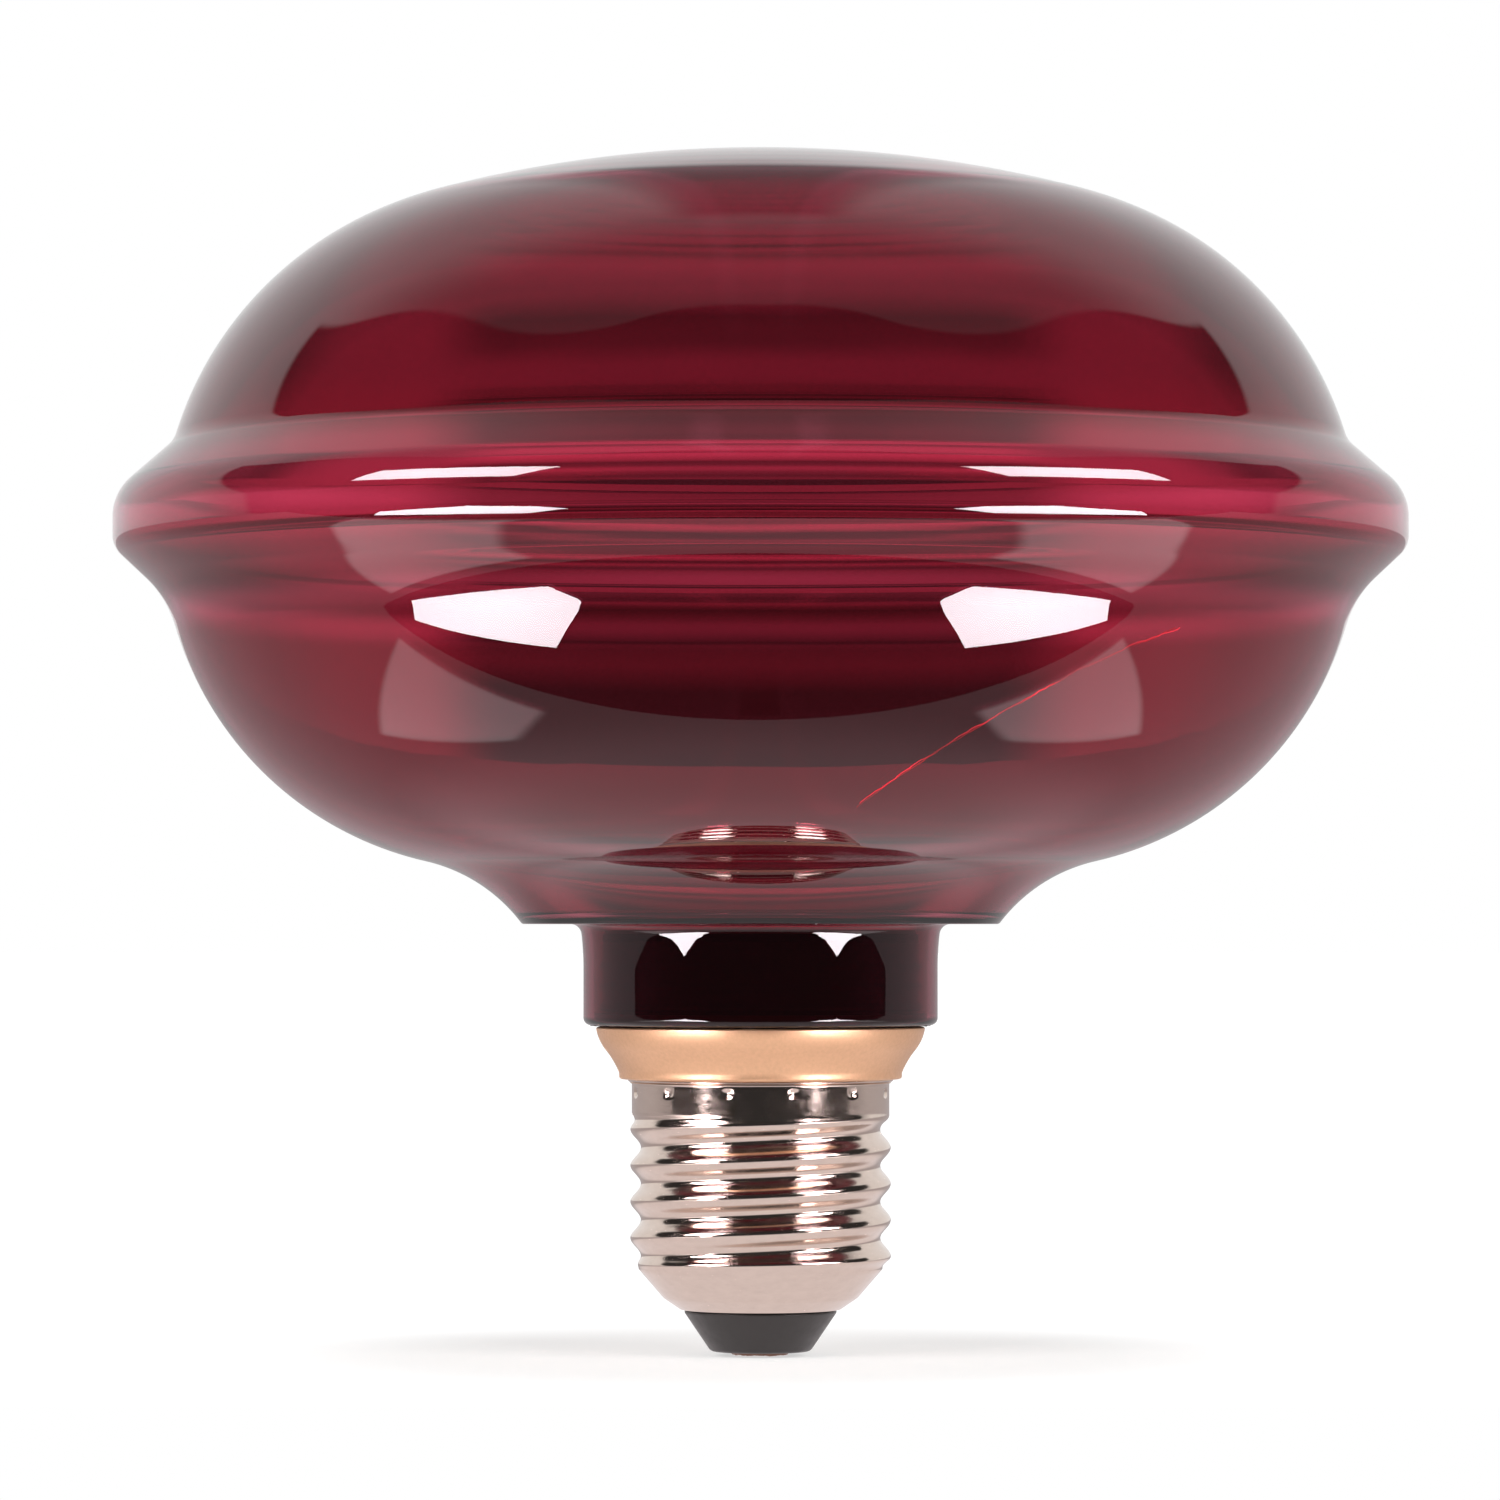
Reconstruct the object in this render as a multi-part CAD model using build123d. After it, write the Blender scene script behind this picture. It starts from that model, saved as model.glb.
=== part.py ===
from build123d import *
import os
from math import cos, radians, sin

# Lamp with a wide blown-glass envelope and an E27 screw cap. Sizes are in millimetres and degrees.
# Z is the lamp's axis. The origin is the tip of the centre contact, and +Z points to the crown.

# Glass: one chain of tangent arcs and straights, from the crown down to the sharp edge of the flare
LAMP_HEIGHT = 120.8
GLASS_WALL = 1.0
CROWN_RADIUS = 128.0
CROWN_SWEEP = 15.5
SHOULDER_RADIUS = 35.5
SHOULDER_SWEEP = 58.9
UPPER_CREASE_RADIUS = 2.6
UPPER_CREASE_SWEEP = 31.9
RIM_UPPER_SLOPE = 5.0
RIM_RADIUS = 5.0
RIM_SWEEP = 94.4
RIM_LOWER_SLOPE = 3.9
LOWER_CREASE_RADIUS = 5.1
LOWER_CREASE_SWEEP = 32.7
BOWL_RADIUS = 34.0
BOWL_SWEEP = 63.0
FLARE_RADIUS = 16.7
FLARE_SWEEP = 40.5
FLARE_EDGE_ROUND = 0.4
NECK_FILLET = 1.1
NECK_BOTTOM_Z = 33.15
SHORTEST_NECK = 6.0
NECK_LIP_OUTER_ROUND = 0.75
NECK_LIP_INNER_ROUND = 0.2

# E27 screw shell: knuckle thread, 7 turns to the inch
THREAD_PITCH = 25.4 / 7
THREAD_CREST_RADIUS = 13.08
THREAD_ROOT_RADIUS = 12.03
THREAD_CREST_Z = 10.0
THREAD_TOP_Z = 24.4
THREAD_BOTTOM_Z = 8.7
THREAD_RUN_OUT = 1.2
THREAD_SECTIONS_PER_TURN = 8
SHELL_WALL = 0.4
SHELL_BAND_RADIUS = 12.94
SHELL_TOP_Z = 27.75
SHELL_LIP_RADIUS = 13.3
SHELL_LIP_HEIGHT = 0.4
SHELL_CONE_TOP_RADIUS = 12.24
SHELL_CONE_KNEE = (9.75, 5.8)
SHELL_RIM = (8.05, 4.65)
SHELL_KNEE_ROUND = 1.5
PUNCH_COUNT = 12
PUNCH_RADIUS = 0.6
PUNCH_DEPTH = 0.25
PUNCH_Z = 26.5

# Insulator and centre contact
INSULATOR_TOP_RADIUS = 7.85
INSULATOR_BOTTOM_RADIUS = 5.0
INSULATOR_BOTTOM_Z = 0.45
INSULATOR_BOTTOM_ROUND = 0.7
INSULATOR_CLAMP_RADIUS = 8.5
INSULATOR_PLUG_TOP_Z = 6.8
CONTACT_HEAD_RADIUS = 3.0
CONTACT_HEAD_ROUND = 0.3
CONTACT_SHANK_RADIUS = 1.4
CONTACT_BORE_RADIUS = 0.6
CONTACT_TOP_Z = 7.4

# Gold collar ring: an S-shaped taper from the glass neck down to the screw shell
COLLAR_TOP_Z = 33.0
COLLAR_TOP_STEP = 0.65
COLLAR_TOP_LEAN = 7.0
COLLAR_SHOULDER_RADIUS = 4.6
COLLAR_SHOULDER_SWEEP = 32.0
COLLAR_WAIST_RADIUS = 9.0
COLLAR_WAIST_SWEEP = 17.0
COLLAR_EDGE_ROUND = 0.3

# Driver housing: barrel inside the screw shell, cone under the collar ring, ribbed spigot in the neck
BARREL_CLEARANCE = 0.08
BARREL_WALL = 1.3
HOUSING_BOTTOM_Z = 9.4
CRIMP_SEAT_CLEARANCE = 0.1
CRIMP_SEAT_BOTTOM_Z = 24.8
HOUSING_CONE_STEP = 2.8
SPIGOT_RADIUS = 15.9
SPIGOT_WALL = 1.5
SPIGOT_TOP_Z = 41.6
SPIGOT_CONE_TOP_Z = 33.2
RIB_COUNT = 3
RIB_PITCH = 2.0
RIB_FIRST_Z = 35.0
RIB_RADIUS = 0.4
ADHESIVE_GAP = 0.9
ADHESIVE_TOP_Z = 34.3
ADHESIVE_BEAD_OVERHANG = 0.05

# Light engine: heat sink cup on the spigot's rim, LED board on its floor, shallow diffuser over it
CUP_FIT = 0.1
CUP_WALL = 1.0
CUP_FLANGE = 0.8
CUP_FLOOR_TOP_Z = 40.1
CUP_FLOOR = 1.2
LEAD_HOLE_RADIUS = 2.7
LED_BOARD_FIT = 0.2
LED_BOARD_THICKNESS = 1.0
LED_COUNT = 10
LED_CIRCLE_RADIUS = 9.6
LED_WIDTH = 2.8
LED_LENGTH = 3.5
LED_HEIGHT = 0.7
BOARD_SCREW_OFFSET = 5.4
SCREW_HEAD_RADIUS = 1.9
SCREW_HEAD_HEIGHT = 1.2
SCREW_SHANK_RADIUS = 1.0
SCREW_LENGTH = 4.0
SCREW_CLEARANCE = 0.05
DIFFUSER_INSET = 0.3
DIFFUSER_RIM = 0.8
DIFFUSER_RISE = 0.6
DIFFUSER_WALL = 0.8

# Driver board, upright in two grooves of the housing, and what is soldered to it
BOARD_HALF_WIDTH = 10.5
BOARD_THICKNESS = 1.2
BOARD_BOTTOM_Z = 10.6
BOARD_TOP_Z = 37.0
GROOVE_CLEARANCE = 0.1
CAPACITOR_RADIUS = 4.0
CAPACITOR_BOTTOM_Z = 13.5
CAPACITOR_LENGTH = 11.5
CHOKE_RADIUS = 4.2
CHOKE_CORE_RADIUS = 2.2
CHOKE_BOTTOM_Z = 27.5
CHOKE_LENGTH = 8.0
CHOKE_FLANGE = 1.2
WINDING_RADIUS = 3.7
PIN_RADIUS = 0.3
FILM_CAPACITOR_SIZE = (7.2, 3.2, 6.5)
FILM_CAPACITOR_PLACE = (-3.2, 27.8)
BRIDGE_SIZE = (4.7, 2.4, 4.0)
BRIDGE_PLACE = (4.2, 17.5)
IC_SIZE = (4.9, 1.6, 3.9)
IC_PLACE = (3.6, 24.0)
CHIP_LIFT = 0.1
CHIP_LEG = 0.4
RESISTOR_RADIUS = 1.3
RESISTOR_LENGTH = 5.0
RESISTOR_PLACE = (-5.6, 18.0)
BARE_WIRE_RADIUS = 0.35
INSULATED_WIRE_RADIUS = 0.5
SHELL_WIRE_X = 11.0
SHELL_WIRE_Y = -2.2
SHELL_WIRE_TOP_Z = 13.0
SHELL_WIRE_BOARD_X = 8.0
SHELL_WIRE_LIFT = 1.6
LIVE_WIRE_X = -3.4
LIVE_WIRE_LIFT = 1.8
LIVE_WIRE_BOW = 1.7
LIVE_WIRE_DEPTH = 1.6
LED_WIRE_X = 3.0
LED_WIRE_BOW = 2.0
LED_WIRE_DROP = 1.0
LED_WIRE_HOLE_X = 1.5
LED_WIRE_HOLE_Y = -1.0
LED_WIRE_PAD_X = 4.6
LED_WIRE_UNDER_FLOOR = 0.7
NOTCH_WIDTH = 1.0
NOTCH_DEPTH = 1.1

# Levels and radii that several pieces share
FULL_TURN = 360.0
THREAD_MEAN_RADIUS = (THREAD_CREST_RADIUS + THREAD_ROOT_RADIUS) / 2
THREAD_SWING = (THREAD_CREST_RADIUS - THREAD_ROOT_RADIUS) / 2
BARREL_RADIUS = THREAD_ROOT_RADIUS - SHELL_WALL - BARREL_CLEARANCE
CRIMP_SEAT_RADIUS = SHELL_BAND_RADIUS - SHELL_WALL - CRIMP_SEAT_CLEARANCE
BARREL_BORE = BARREL_RADIUS - BARREL_WALL
SPIGOT_BORE = SPIGOT_RADIUS - SPIGOT_WALL
HOUSING_CONE_BOTTOM_RADIUS = SPIGOT_RADIUS - HOUSING_CONE_STEP
COLLAR_TOP_RADIUS = SPIGOT_RADIUS + COLLAR_TOP_STEP
NECK_BORE = SPIGOT_RADIUS + ADHESIVE_GAP
NECK_RADIUS = NECK_BORE + GLASS_WALL
CUP_RADIUS = SPIGOT_BORE - CUP_FIT
LED_BOARD_RADIUS = CUP_RADIUS - CUP_WALL - LED_BOARD_FIT
DIFFUSER_RADIUS = SPIGOT_RADIUS - DIFFUSER_INSET
CUP_TOP_Z = SPIGOT_TOP_Z + CUP_FLANGE
LED_BOARD_TOP_Z = CUP_FLOOR_TOP_Z + LED_BOARD_THICKNESS
BOARD_FRONT_Y = BOARD_THICKNESS / 2


def turned(section):
    """Solid of revolution of a (radius, height) section about the lamp's axis."""
    return revolve(Plane.XZ * section, Axis.Z, FULL_TURN)


def outline_face(points):
    """Flat face inside a closed straight-sided (radius, height) outline."""
    return make_face(Polyline(*points, close=True).edges())


def corner(shape, radius, height):
    """The corner of a flat section nearest to a given radius and height."""
    return shape.vertices().sort_by_distance((radius, height, 0))[0]


def chain(start, tangent, runs):
    """Edges that follow each other smoothly: a run is (radius, turn), or (None, length) if straight."""
    edges = []
    for radius, amount in runs:
        if radius is None:
            edges.append(PolarLine(start, amount, direction=tangent))
        else:
            edges.append(JernArc(start=start, tangent=tangent, radius=radius, arc_size=amount))
        start = edges[-1] @ 1
        tangent = edges[-1] % 1
    return edges


def wire_along(points, radii, wire_radius):
    """Round wire along straight runs joined by tangent arcs."""
    path = FilletPolyline(*points, radius=radii)
    return sweep(Plane(path @ 0, z_dir=path % 0) * Circle(wire_radius), path=path)


def glass_outline():
    """Outside half outline of the glass, from the crown to the edge of the flare."""
    return chain(
        (0, LAMP_HEIGHT),
        (1, 0),
        (
            (CROWN_RADIUS, -CROWN_SWEEP),
            (SHOULDER_RADIUS, -SHOULDER_SWEEP),
            (UPPER_CREASE_RADIUS, UPPER_CREASE_SWEEP),
            (None, RIM_UPPER_SLOPE),
            (RIM_RADIUS, -RIM_SWEEP),
            (None, RIM_LOWER_SLOPE),
            (LOWER_CREASE_RADIUS, LOWER_CREASE_SWEEP),
            (BOWL_RADIUS, -BOWL_SWEEP),
            (FLARE_RADIUS, FLARE_SWEEP),
        ),
    )


def glass_envelope():
    """Blown envelope: crown, rolled rim, bowl, flare with a sharp lower edge, shelf and neck."""
    edges = glass_outline()
    flare_edge = edges[-1] @ 1
    shelf_z = max(flare_edge.Y, NECK_BOTTOM_Z + SHORTEST_NECK)
    margin = 6 * GLASS_WALL
    reach = 2 * LAMP_HEIGHT
    closing = Polyline(flare_edge, (-margin, flare_edge.Y), (-margin, LAMP_HEIGHT), (0, LAMP_HEIGHT))
    body = make_face(edges + closing.edges()) & Pos(0, shelf_z + reach / 2) * Rectangle(reach, reach)
    neck = outline_face(
        (
            (-margin, NECK_BOTTOM_Z - margin),
            (NECK_RADIUS, NECK_BOTTOM_Z - margin),
            (NECK_RADIUS, shelf_z + margin),
            (-margin, shelf_z + margin),
        )
    )
    outside = body + neck
    shelf_corners = outside.vertices().filter_by_position(Axis.Y, shelf_z - 0.01, shelf_z + 0.01)
    flare_corner = shelf_corners.sort_by(Axis.X)[-1]
    outside = fillet(corner(outside, NECK_RADIUS, shelf_z), NECK_FILLET)
    outside = fillet(corner(outside, flare_corner.X, shelf_z), FLARE_EDGE_ROUND)
    wall = outside - offset(outside, -GLASS_WALL)
    section = wall & Pos(reach / 2, NECK_BOTTOM_Z + reach / 2) * Rectangle(reach, reach)
    section = fillet(corner(section, NECK_RADIUS, NECK_BOTTOM_Z), NECK_LIP_OUTER_ROUND)
    section = fillet(corner(section, NECK_BORE, NECK_BOTTOM_Z), NECK_LIP_INNER_ROUND)
    return turned(section)


def housing_cone_radius(height):
    """Radius of the cone that the collar ring sits on, at a height."""
    share = (height - SHELL_TOP_Z) / (SPIGOT_CONE_TOP_Z - SHELL_TOP_Z)
    return HOUSING_CONE_BOTTOM_RADIUS + share * (SPIGOT_RADIUS - HOUSING_CONE_BOTTOM_RADIUS)


def glass_adhesive():
    """Ring of cement between the neck and the spigot, with a thin bead showing under the glass."""
    section = outline_face(
        (
            (SPIGOT_RADIUS, SPIGOT_CONE_TOP_Z),
            (housing_cone_radius(COLLAR_TOP_Z), COLLAR_TOP_Z),
            (NECK_BORE - ADHESIVE_BEAD_OVERHANG, COLLAR_TOP_Z),
            (NECK_BORE + ADHESIVE_BEAD_OVERHANG, NECK_BOTTOM_Z),
            (NECK_BORE, NECK_BOTTOM_Z + NECK_LIP_INNER_ROUND),
            (NECK_BORE, ADHESIVE_TOP_Z),
            (SPIGOT_RADIUS, ADHESIVE_TOP_Z),
        )
    )
    return turned(section)


def collar_ring():
    """Thin painted ring: convex shoulder below the glass, hollow waist, rounded lower edge."""
    lean = radians(COLLAR_TOP_LEAN)
    edges = chain(
        (COLLAR_TOP_RADIUS, COLLAR_TOP_Z),
        (-sin(lean), -cos(lean)),
        (
            (COLLAR_SHOULDER_RADIUS, -COLLAR_SHOULDER_SWEEP),
            (COLLAR_WAIST_RADIUS, COLLAR_WAIST_SWEEP),
        ),
    )
    foot = edges[-1] @ 1
    closing = Polyline(
        foot,
        (foot.X, SHELL_TOP_Z),
        (housing_cone_radius(SHELL_TOP_Z), SHELL_TOP_Z),
        (housing_cone_radius(COLLAR_TOP_Z), COLLAR_TOP_Z),
        (COLLAR_TOP_RADIUS, COLLAR_TOP_Z),
    )
    section = make_face(edges + closing.edges())
    section = fillet(corner(section, foot.X, SHELL_TOP_Z), COLLAR_EDGE_ROUND)
    section = fillet(corner(section, COLLAR_TOP_RADIUS, COLLAR_TOP_Z), COLLAR_EDGE_ROUND)
    return turned(section)


def smooth_step(share):
    """Eases from 0 to 1 while share goes from 0 to 1."""
    share = min(max(share, 0.0), 1.0)
    return share * share * (3 - 2 * share)


def thread_tube(inset):
    """Knuckle thread: a round tube whose centre winds round the axis once in a pitch, right-handed."""
    step = THREAD_PITCH / THREAD_SECTIONS_PER_TURN
    count = round((THREAD_TOP_Z - THREAD_BOTTOM_Z) / step)
    sections = []
    for index in range(count + 1):
        height = THREAD_BOTTOM_Z + (THREAD_TOP_Z - THREAD_BOTTOM_Z) * index / count
        angle = radians(FULL_TURN) * (height - THREAD_CREST_Z) / THREAD_PITCH
        top = smooth_step((height - THREAD_TOP_Z + THREAD_RUN_OUT) / THREAD_RUN_OUT)
        bottom = smooth_step((THREAD_BOTTOM_Z + THREAD_RUN_OUT - height) / THREAD_RUN_OUT)
        swing = THREAD_SWING * (1 - top) * (1 - bottom)
        radius = THREAD_MEAN_RADIUS - inset
        radius += top * (SHELL_BAND_RADIUS - THREAD_MEAN_RADIUS)
        radius += bottom * (SHELL_CONE_TOP_RADIUS - THREAD_MEAN_RADIUS)
        sections.append(Pos(swing * cos(angle), swing * sin(angle), height) * Circle(radius))
    return loft(sections)


def shell_body(inset):
    """Filled outline of the screw shell, or of the space inside it: band, thread and lower cone."""
    lip = max(SHELL_LIP_RADIUS - inset, SHELL_BAND_RADIUS - inset)
    band_radius = SHELL_BAND_RADIUS - inset
    lip_bottom_z = SHELL_TOP_Z - SHELL_LIP_HEIGHT
    band = outline_face(
        (
            (0, THREAD_TOP_Z),
            (band_radius, THREAD_TOP_Z),
            (band_radius, lip_bottom_z),
            (lip, SHELL_TOP_Z - SHELL_LIP_HEIGHT / 2),
            (lip, SHELL_TOP_Z),
            (0, SHELL_TOP_Z),
        )
    )
    rim_radius, rim_z = SHELL_RIM
    knee_radius, knee_z = SHELL_CONE_KNEE
    cone = outline_face(
        (
            (0, rim_z),
            (rim_radius - inset, rim_z),
            (knee_radius - inset, knee_z),
            (SHELL_CONE_TOP_RADIUS - inset, THREAD_BOTTOM_Z),
            (0, THREAD_BOTTOM_Z),
        )
    )
    cone = fillet(corner(cone, knee_radius - inset, knee_z), SHELL_KNEE_ROUND)
    return turned(band) + thread_tube(inset) + turned(cone)


def screw_shell():
    """Rolled sheet shell with a knuckle thread, a flared lip and a row of punched dimples."""
    shell = shell_body(0) - shell_body(SHELL_WALL)
    centre = SHELL_BAND_RADIUS + PUNCH_RADIUS - PUNCH_DEPTH
    for index in range(PUNCH_COUNT):
        turn = Rot(0, 0, FULL_TURN * (index + 0.5) / PUNCH_COUNT)
        shell -= turn * Pos(centre, 0, PUNCH_Z) * Sphere(PUNCH_RADIUS)
    return shell


def shell_insulator():
    """Black moulded plug: cone below the shell's rim, waist in the rim, clamping flange above it."""
    rim_radius, rim_z = SHELL_RIM
    waist_radius = rim_radius - SHELL_WALL - 0.05
    clamp_z = rim_z + 0.9
    section = outline_face(
        (
            (CONTACT_SHANK_RADIUS, INSULATOR_BOTTOM_Z),
            (INSULATOR_BOTTOM_RADIUS, INSULATOR_BOTTOM_Z),
            (INSULATOR_TOP_RADIUS, rim_z),
            (waist_radius, rim_z),
            (waist_radius, clamp_z),
            (INSULATOR_CLAMP_RADIUS, clamp_z + 0.5),
            (INSULATOR_CLAMP_RADIUS, INSULATOR_PLUG_TOP_Z),
            (CONTACT_SHANK_RADIUS, INSULATOR_PLUG_TOP_Z),
        )
    )
    section = fillet(corner(section, INSULATOR_BOTTOM_RADIUS, INSULATOR_BOTTOM_Z), INSULATOR_BOTTOM_ROUND)
    return turned(section)


def centre_contact():
    """Hollow rivet: round head under the insulator, shank through it, flared end above it."""
    flare = CONTACT_SHANK_RADIUS + 0.6
    section = outline_face(
        (
            (0, 0),
            (CONTACT_HEAD_RADIUS, 0),
            (CONTACT_HEAD_RADIUS, INSULATOR_BOTTOM_Z),
            (CONTACT_SHANK_RADIUS, INSULATOR_BOTTOM_Z),
            (CONTACT_SHANK_RADIUS, INSULATOR_PLUG_TOP_Z),
            (flare, INSULATOR_PLUG_TOP_Z),
            (flare, CONTACT_TOP_Z),
            (CONTACT_BORE_RADIUS, CONTACT_TOP_Z),
            (CONTACT_BORE_RADIUS, INSULATOR_BOTTOM_Z),
            (0, INSULATOR_BOTTOM_Z),
        )
    )
    section = fillet(corner(section, CONTACT_HEAD_RADIUS, 0), CONTACT_HEAD_ROUND)
    return turned(section)


def driver_housing():
    """Moulded housing: barrel, crimp seat, cone for the collar ring and ribbed spigot."""
    section = outline_face(
        (
            (BARREL_BORE, HOUSING_BOTTOM_Z),
            (BARREL_RADIUS, HOUSING_BOTTOM_Z),
            (BARREL_RADIUS, CRIMP_SEAT_BOTTOM_Z - 1),
            (CRIMP_SEAT_RADIUS, CRIMP_SEAT_BOTTOM_Z),
            (CRIMP_SEAT_RADIUS, SHELL_TOP_Z),
            (HOUSING_CONE_BOTTOM_RADIUS, SHELL_TOP_Z),
            (SPIGOT_RADIUS, SPIGOT_CONE_TOP_Z),
            (SPIGOT_RADIUS, SPIGOT_TOP_Z),
            (SPIGOT_BORE, SPIGOT_TOP_Z),
            (SPIGOT_BORE, SPIGOT_CONE_TOP_Z - 0.6),
            (BARREL_BORE, SHELL_TOP_Z - 0.75),
        )
    )
    for index in range(RIB_COUNT):
        section += Pos(SPIGOT_RADIUS, RIB_FIRST_Z + index * RIB_PITCH) * Circle(RIB_RADIUS)
    housing = turned(section)
    groove_length = BOARD_TOP_Z - BOARD_BOTTOM_Z
    groove = Box(
        2 * (BOARD_HALF_WIDTH + GROOVE_CLEARANCE),
        BOARD_THICKNESS + 2 * GROOVE_CLEARANCE,
        groove_length,
        align=(Align.CENTER, Align.CENTER, Align.MIN),
    )
    housing -= Pos(0, 0, BOARD_BOTTOM_Z) * groove
    notch = Box(
        2 * NOTCH_DEPTH,
        NOTCH_WIDTH,
        SHELL_WIRE_TOP_Z - HOUSING_BOTTOM_Z + 1,
        align=(Align.CENTER, Align.CENTER, Align.MIN),
    )
    return housing - Pos(BARREL_RADIUS, SHELL_WIRE_Y, HOUSING_BOTTOM_Z) * notch


def board_screw_places():
    """The two screw positions on the LED board."""
    return [Pos(0, side * BOARD_SCREW_OFFSET, 0) for side in (-1, 1)]


def drill(shape, radius):
    """Cuts the screw holes and the lead hole through a disc."""
    shape -= Cylinder(LEAD_HOLE_RADIUS, 4 * LAMP_HEIGHT)
    for place in board_screw_places():
        shape -= place * Cylinder(radius, 4 * LAMP_HEIGHT)
    return shape


def heat_sink_cup():
    """Pressed aluminium cup that hangs by its flange in the spigot and carries the LED board."""
    floor_z = CUP_FLOOR_TOP_Z - CUP_FLOOR
    section = outline_face(
        (
            (0, floor_z),
            (CUP_RADIUS, floor_z),
            (CUP_RADIUS, SPIGOT_TOP_Z),
            (SPIGOT_RADIUS, SPIGOT_TOP_Z),
            (SPIGOT_RADIUS, CUP_TOP_Z),
            (CUP_RADIUS - CUP_WALL, CUP_TOP_Z),
            (CUP_RADIUS - CUP_WALL, CUP_FLOOR_TOP_Z),
            (0, CUP_FLOOR_TOP_Z),
        )
    )
    return drill(turned(section), SCREW_SHANK_RADIUS + SCREW_CLEARANCE)


def led_board():
    """Round metal-core board with a centre hole for the leads."""
    disc = Pos(0, 0, CUP_FLOOR_TOP_Z) * Cylinder(
        LED_BOARD_RADIUS, LED_BOARD_THICKNESS, align=(Align.CENTER, Align.CENTER, Align.MIN)
    )
    return drill(disc, SCREW_SHANK_RADIUS + SCREW_CLEARANCE)


def led_chips():
    """Ring of LED packages on the board."""
    package = Box(LED_WIDTH, LED_LENGTH, LED_HEIGHT, align=(Align.CENTER, Align.CENTER, Align.MIN))
    chips = []
    for index in range(LED_COUNT):
        turn = Rot(0, 0, FULL_TURN * (index + 0.5) / LED_COUNT)
        chips.append(turn * Pos(LED_CIRCLE_RADIUS, 0, LED_BOARD_TOP_Z) * package)
    return Compound(children=chips)


def led_board_screws():
    """Two pan-head screws that hold the LED board to the cup."""
    low = (Align.CENTER, Align.CENTER, Align.MIN)
    high = (Align.CENTER, Align.CENTER, Align.MAX)
    head = Cylinder(SCREW_HEAD_RADIUS, SCREW_HEAD_HEIGHT, align=low)
    head = fillet(head.edges().group_by(Axis.Z)[-1], SCREW_HEAD_HEIGHT / 2)
    slot = Box(2 * SCREW_SHANK_RADIUS, 0.5, SCREW_HEAD_HEIGHT, align=low)
    cross = slot + Rot(0, 0, 90) * slot
    screw = head - Pos(0, 0, SCREW_HEAD_HEIGHT / 2) * cross
    screw += Cylinder(SCREW_SHANK_RADIUS, SCREW_LENGTH, align=high)
    return Compound(children=[Pos(0, 0, LED_BOARD_TOP_Z) * place * screw for place in board_screw_places()])


def diffuser_cap():
    """Opal disc over the LEDs, slightly domed, with its rim on the cup's flange."""
    rim_top = CUP_TOP_Z + DIFFUSER_RIM
    crown_top = rim_top + DIFFUSER_RISE
    top = ThreePointArc((-DIFFUSER_RADIUS, rim_top), (0, crown_top), (DIFFUSER_RADIUS, rim_top))
    under = ThreePointArc(
        (-DIFFUSER_RADIUS, rim_top - DIFFUSER_WALL),
        (0, crown_top - DIFFUSER_WALL),
        (DIFFUSER_RADIUS, rim_top - DIFFUSER_WALL),
    )
    sides = [Line(under @ 0, top @ 0), Line(under @ 1, top @ 1)]
    section = make_face([top, under] + sides)
    reach = 2 * DIFFUSER_RADIUS
    return turned(section & Pos(reach / 2, crown_top) * Rectangle(reach, reach))


def driver_board():
    """Upright printed circuit board."""
    height = BOARD_TOP_Z - BOARD_BOTTOM_Z
    board = Box(2 * BOARD_HALF_WIDTH, BOARD_THICKNESS, height, align=(Align.CENTER, Align.CENTER, Align.MIN))
    return Pos(0, 0, BOARD_BOTTOM_Z) * board


def bent_pins(half_gap, body_z, pin_z, reach, side):
    """Two round pins that leave a component along Z and bend into the board's face."""
    pins = []
    for x in (-half_gap, half_gap):
        points = ((x, side * reach, body_z), (x, side * reach, pin_z), (x, side * BOARD_FRONT_Y, pin_z))
        pins.append(wire_along(points, 2 * PIN_RADIUS, PIN_RADIUS))
    return pins[0] + pins[1]


def electrolytic_capacitor():
    """Sleeved can lying along the board, with rounded ends and two bent pins."""
    can = Cylinder(CAPACITOR_RADIUS, CAPACITOR_LENGTH, align=(Align.CENTER, Align.CENTER, Align.MIN))
    can = fillet(can.edges().filter_by(GeomType.CIRCLE), 0.5)
    axis_y = BOARD_FRONT_Y + CAPACITOR_RADIUS
    pins = bent_pins(1.75, CAPACITOR_BOTTOM_Z, CAPACITOR_BOTTOM_Z - 1.4, axis_y, 1)
    return Pos(0, axis_y, CAPACITOR_BOTTOM_Z) * can + pins


def choke_core():
    """Ferrite drum: two flanges on a thinner core."""
    inner_bottom = CHOKE_BOTTOM_Z + CHOKE_FLANGE
    inner_top = CHOKE_BOTTOM_Z + CHOKE_LENGTH - CHOKE_FLANGE
    section = outline_face(
        (
            (0, CHOKE_BOTTOM_Z),
            (CHOKE_RADIUS, CHOKE_BOTTOM_Z),
            (CHOKE_RADIUS, inner_bottom),
            (CHOKE_CORE_RADIUS, inner_bottom),
            (CHOKE_CORE_RADIUS, inner_top),
            (CHOKE_RADIUS, inner_top),
            (CHOKE_RADIUS, CHOKE_BOTTOM_Z + CHOKE_LENGTH),
            (0, CHOKE_BOTTOM_Z + CHOKE_LENGTH),
        )
    )
    axis_y = BOARD_FRONT_Y + CHOKE_RADIUS
    pins = bent_pins(2.5, CHOKE_BOTTOM_Z, CHOKE_BOTTOM_Z - 1.3, axis_y, 1)
    return Pos(0, axis_y, 0) * turned(section) + pins


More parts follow.
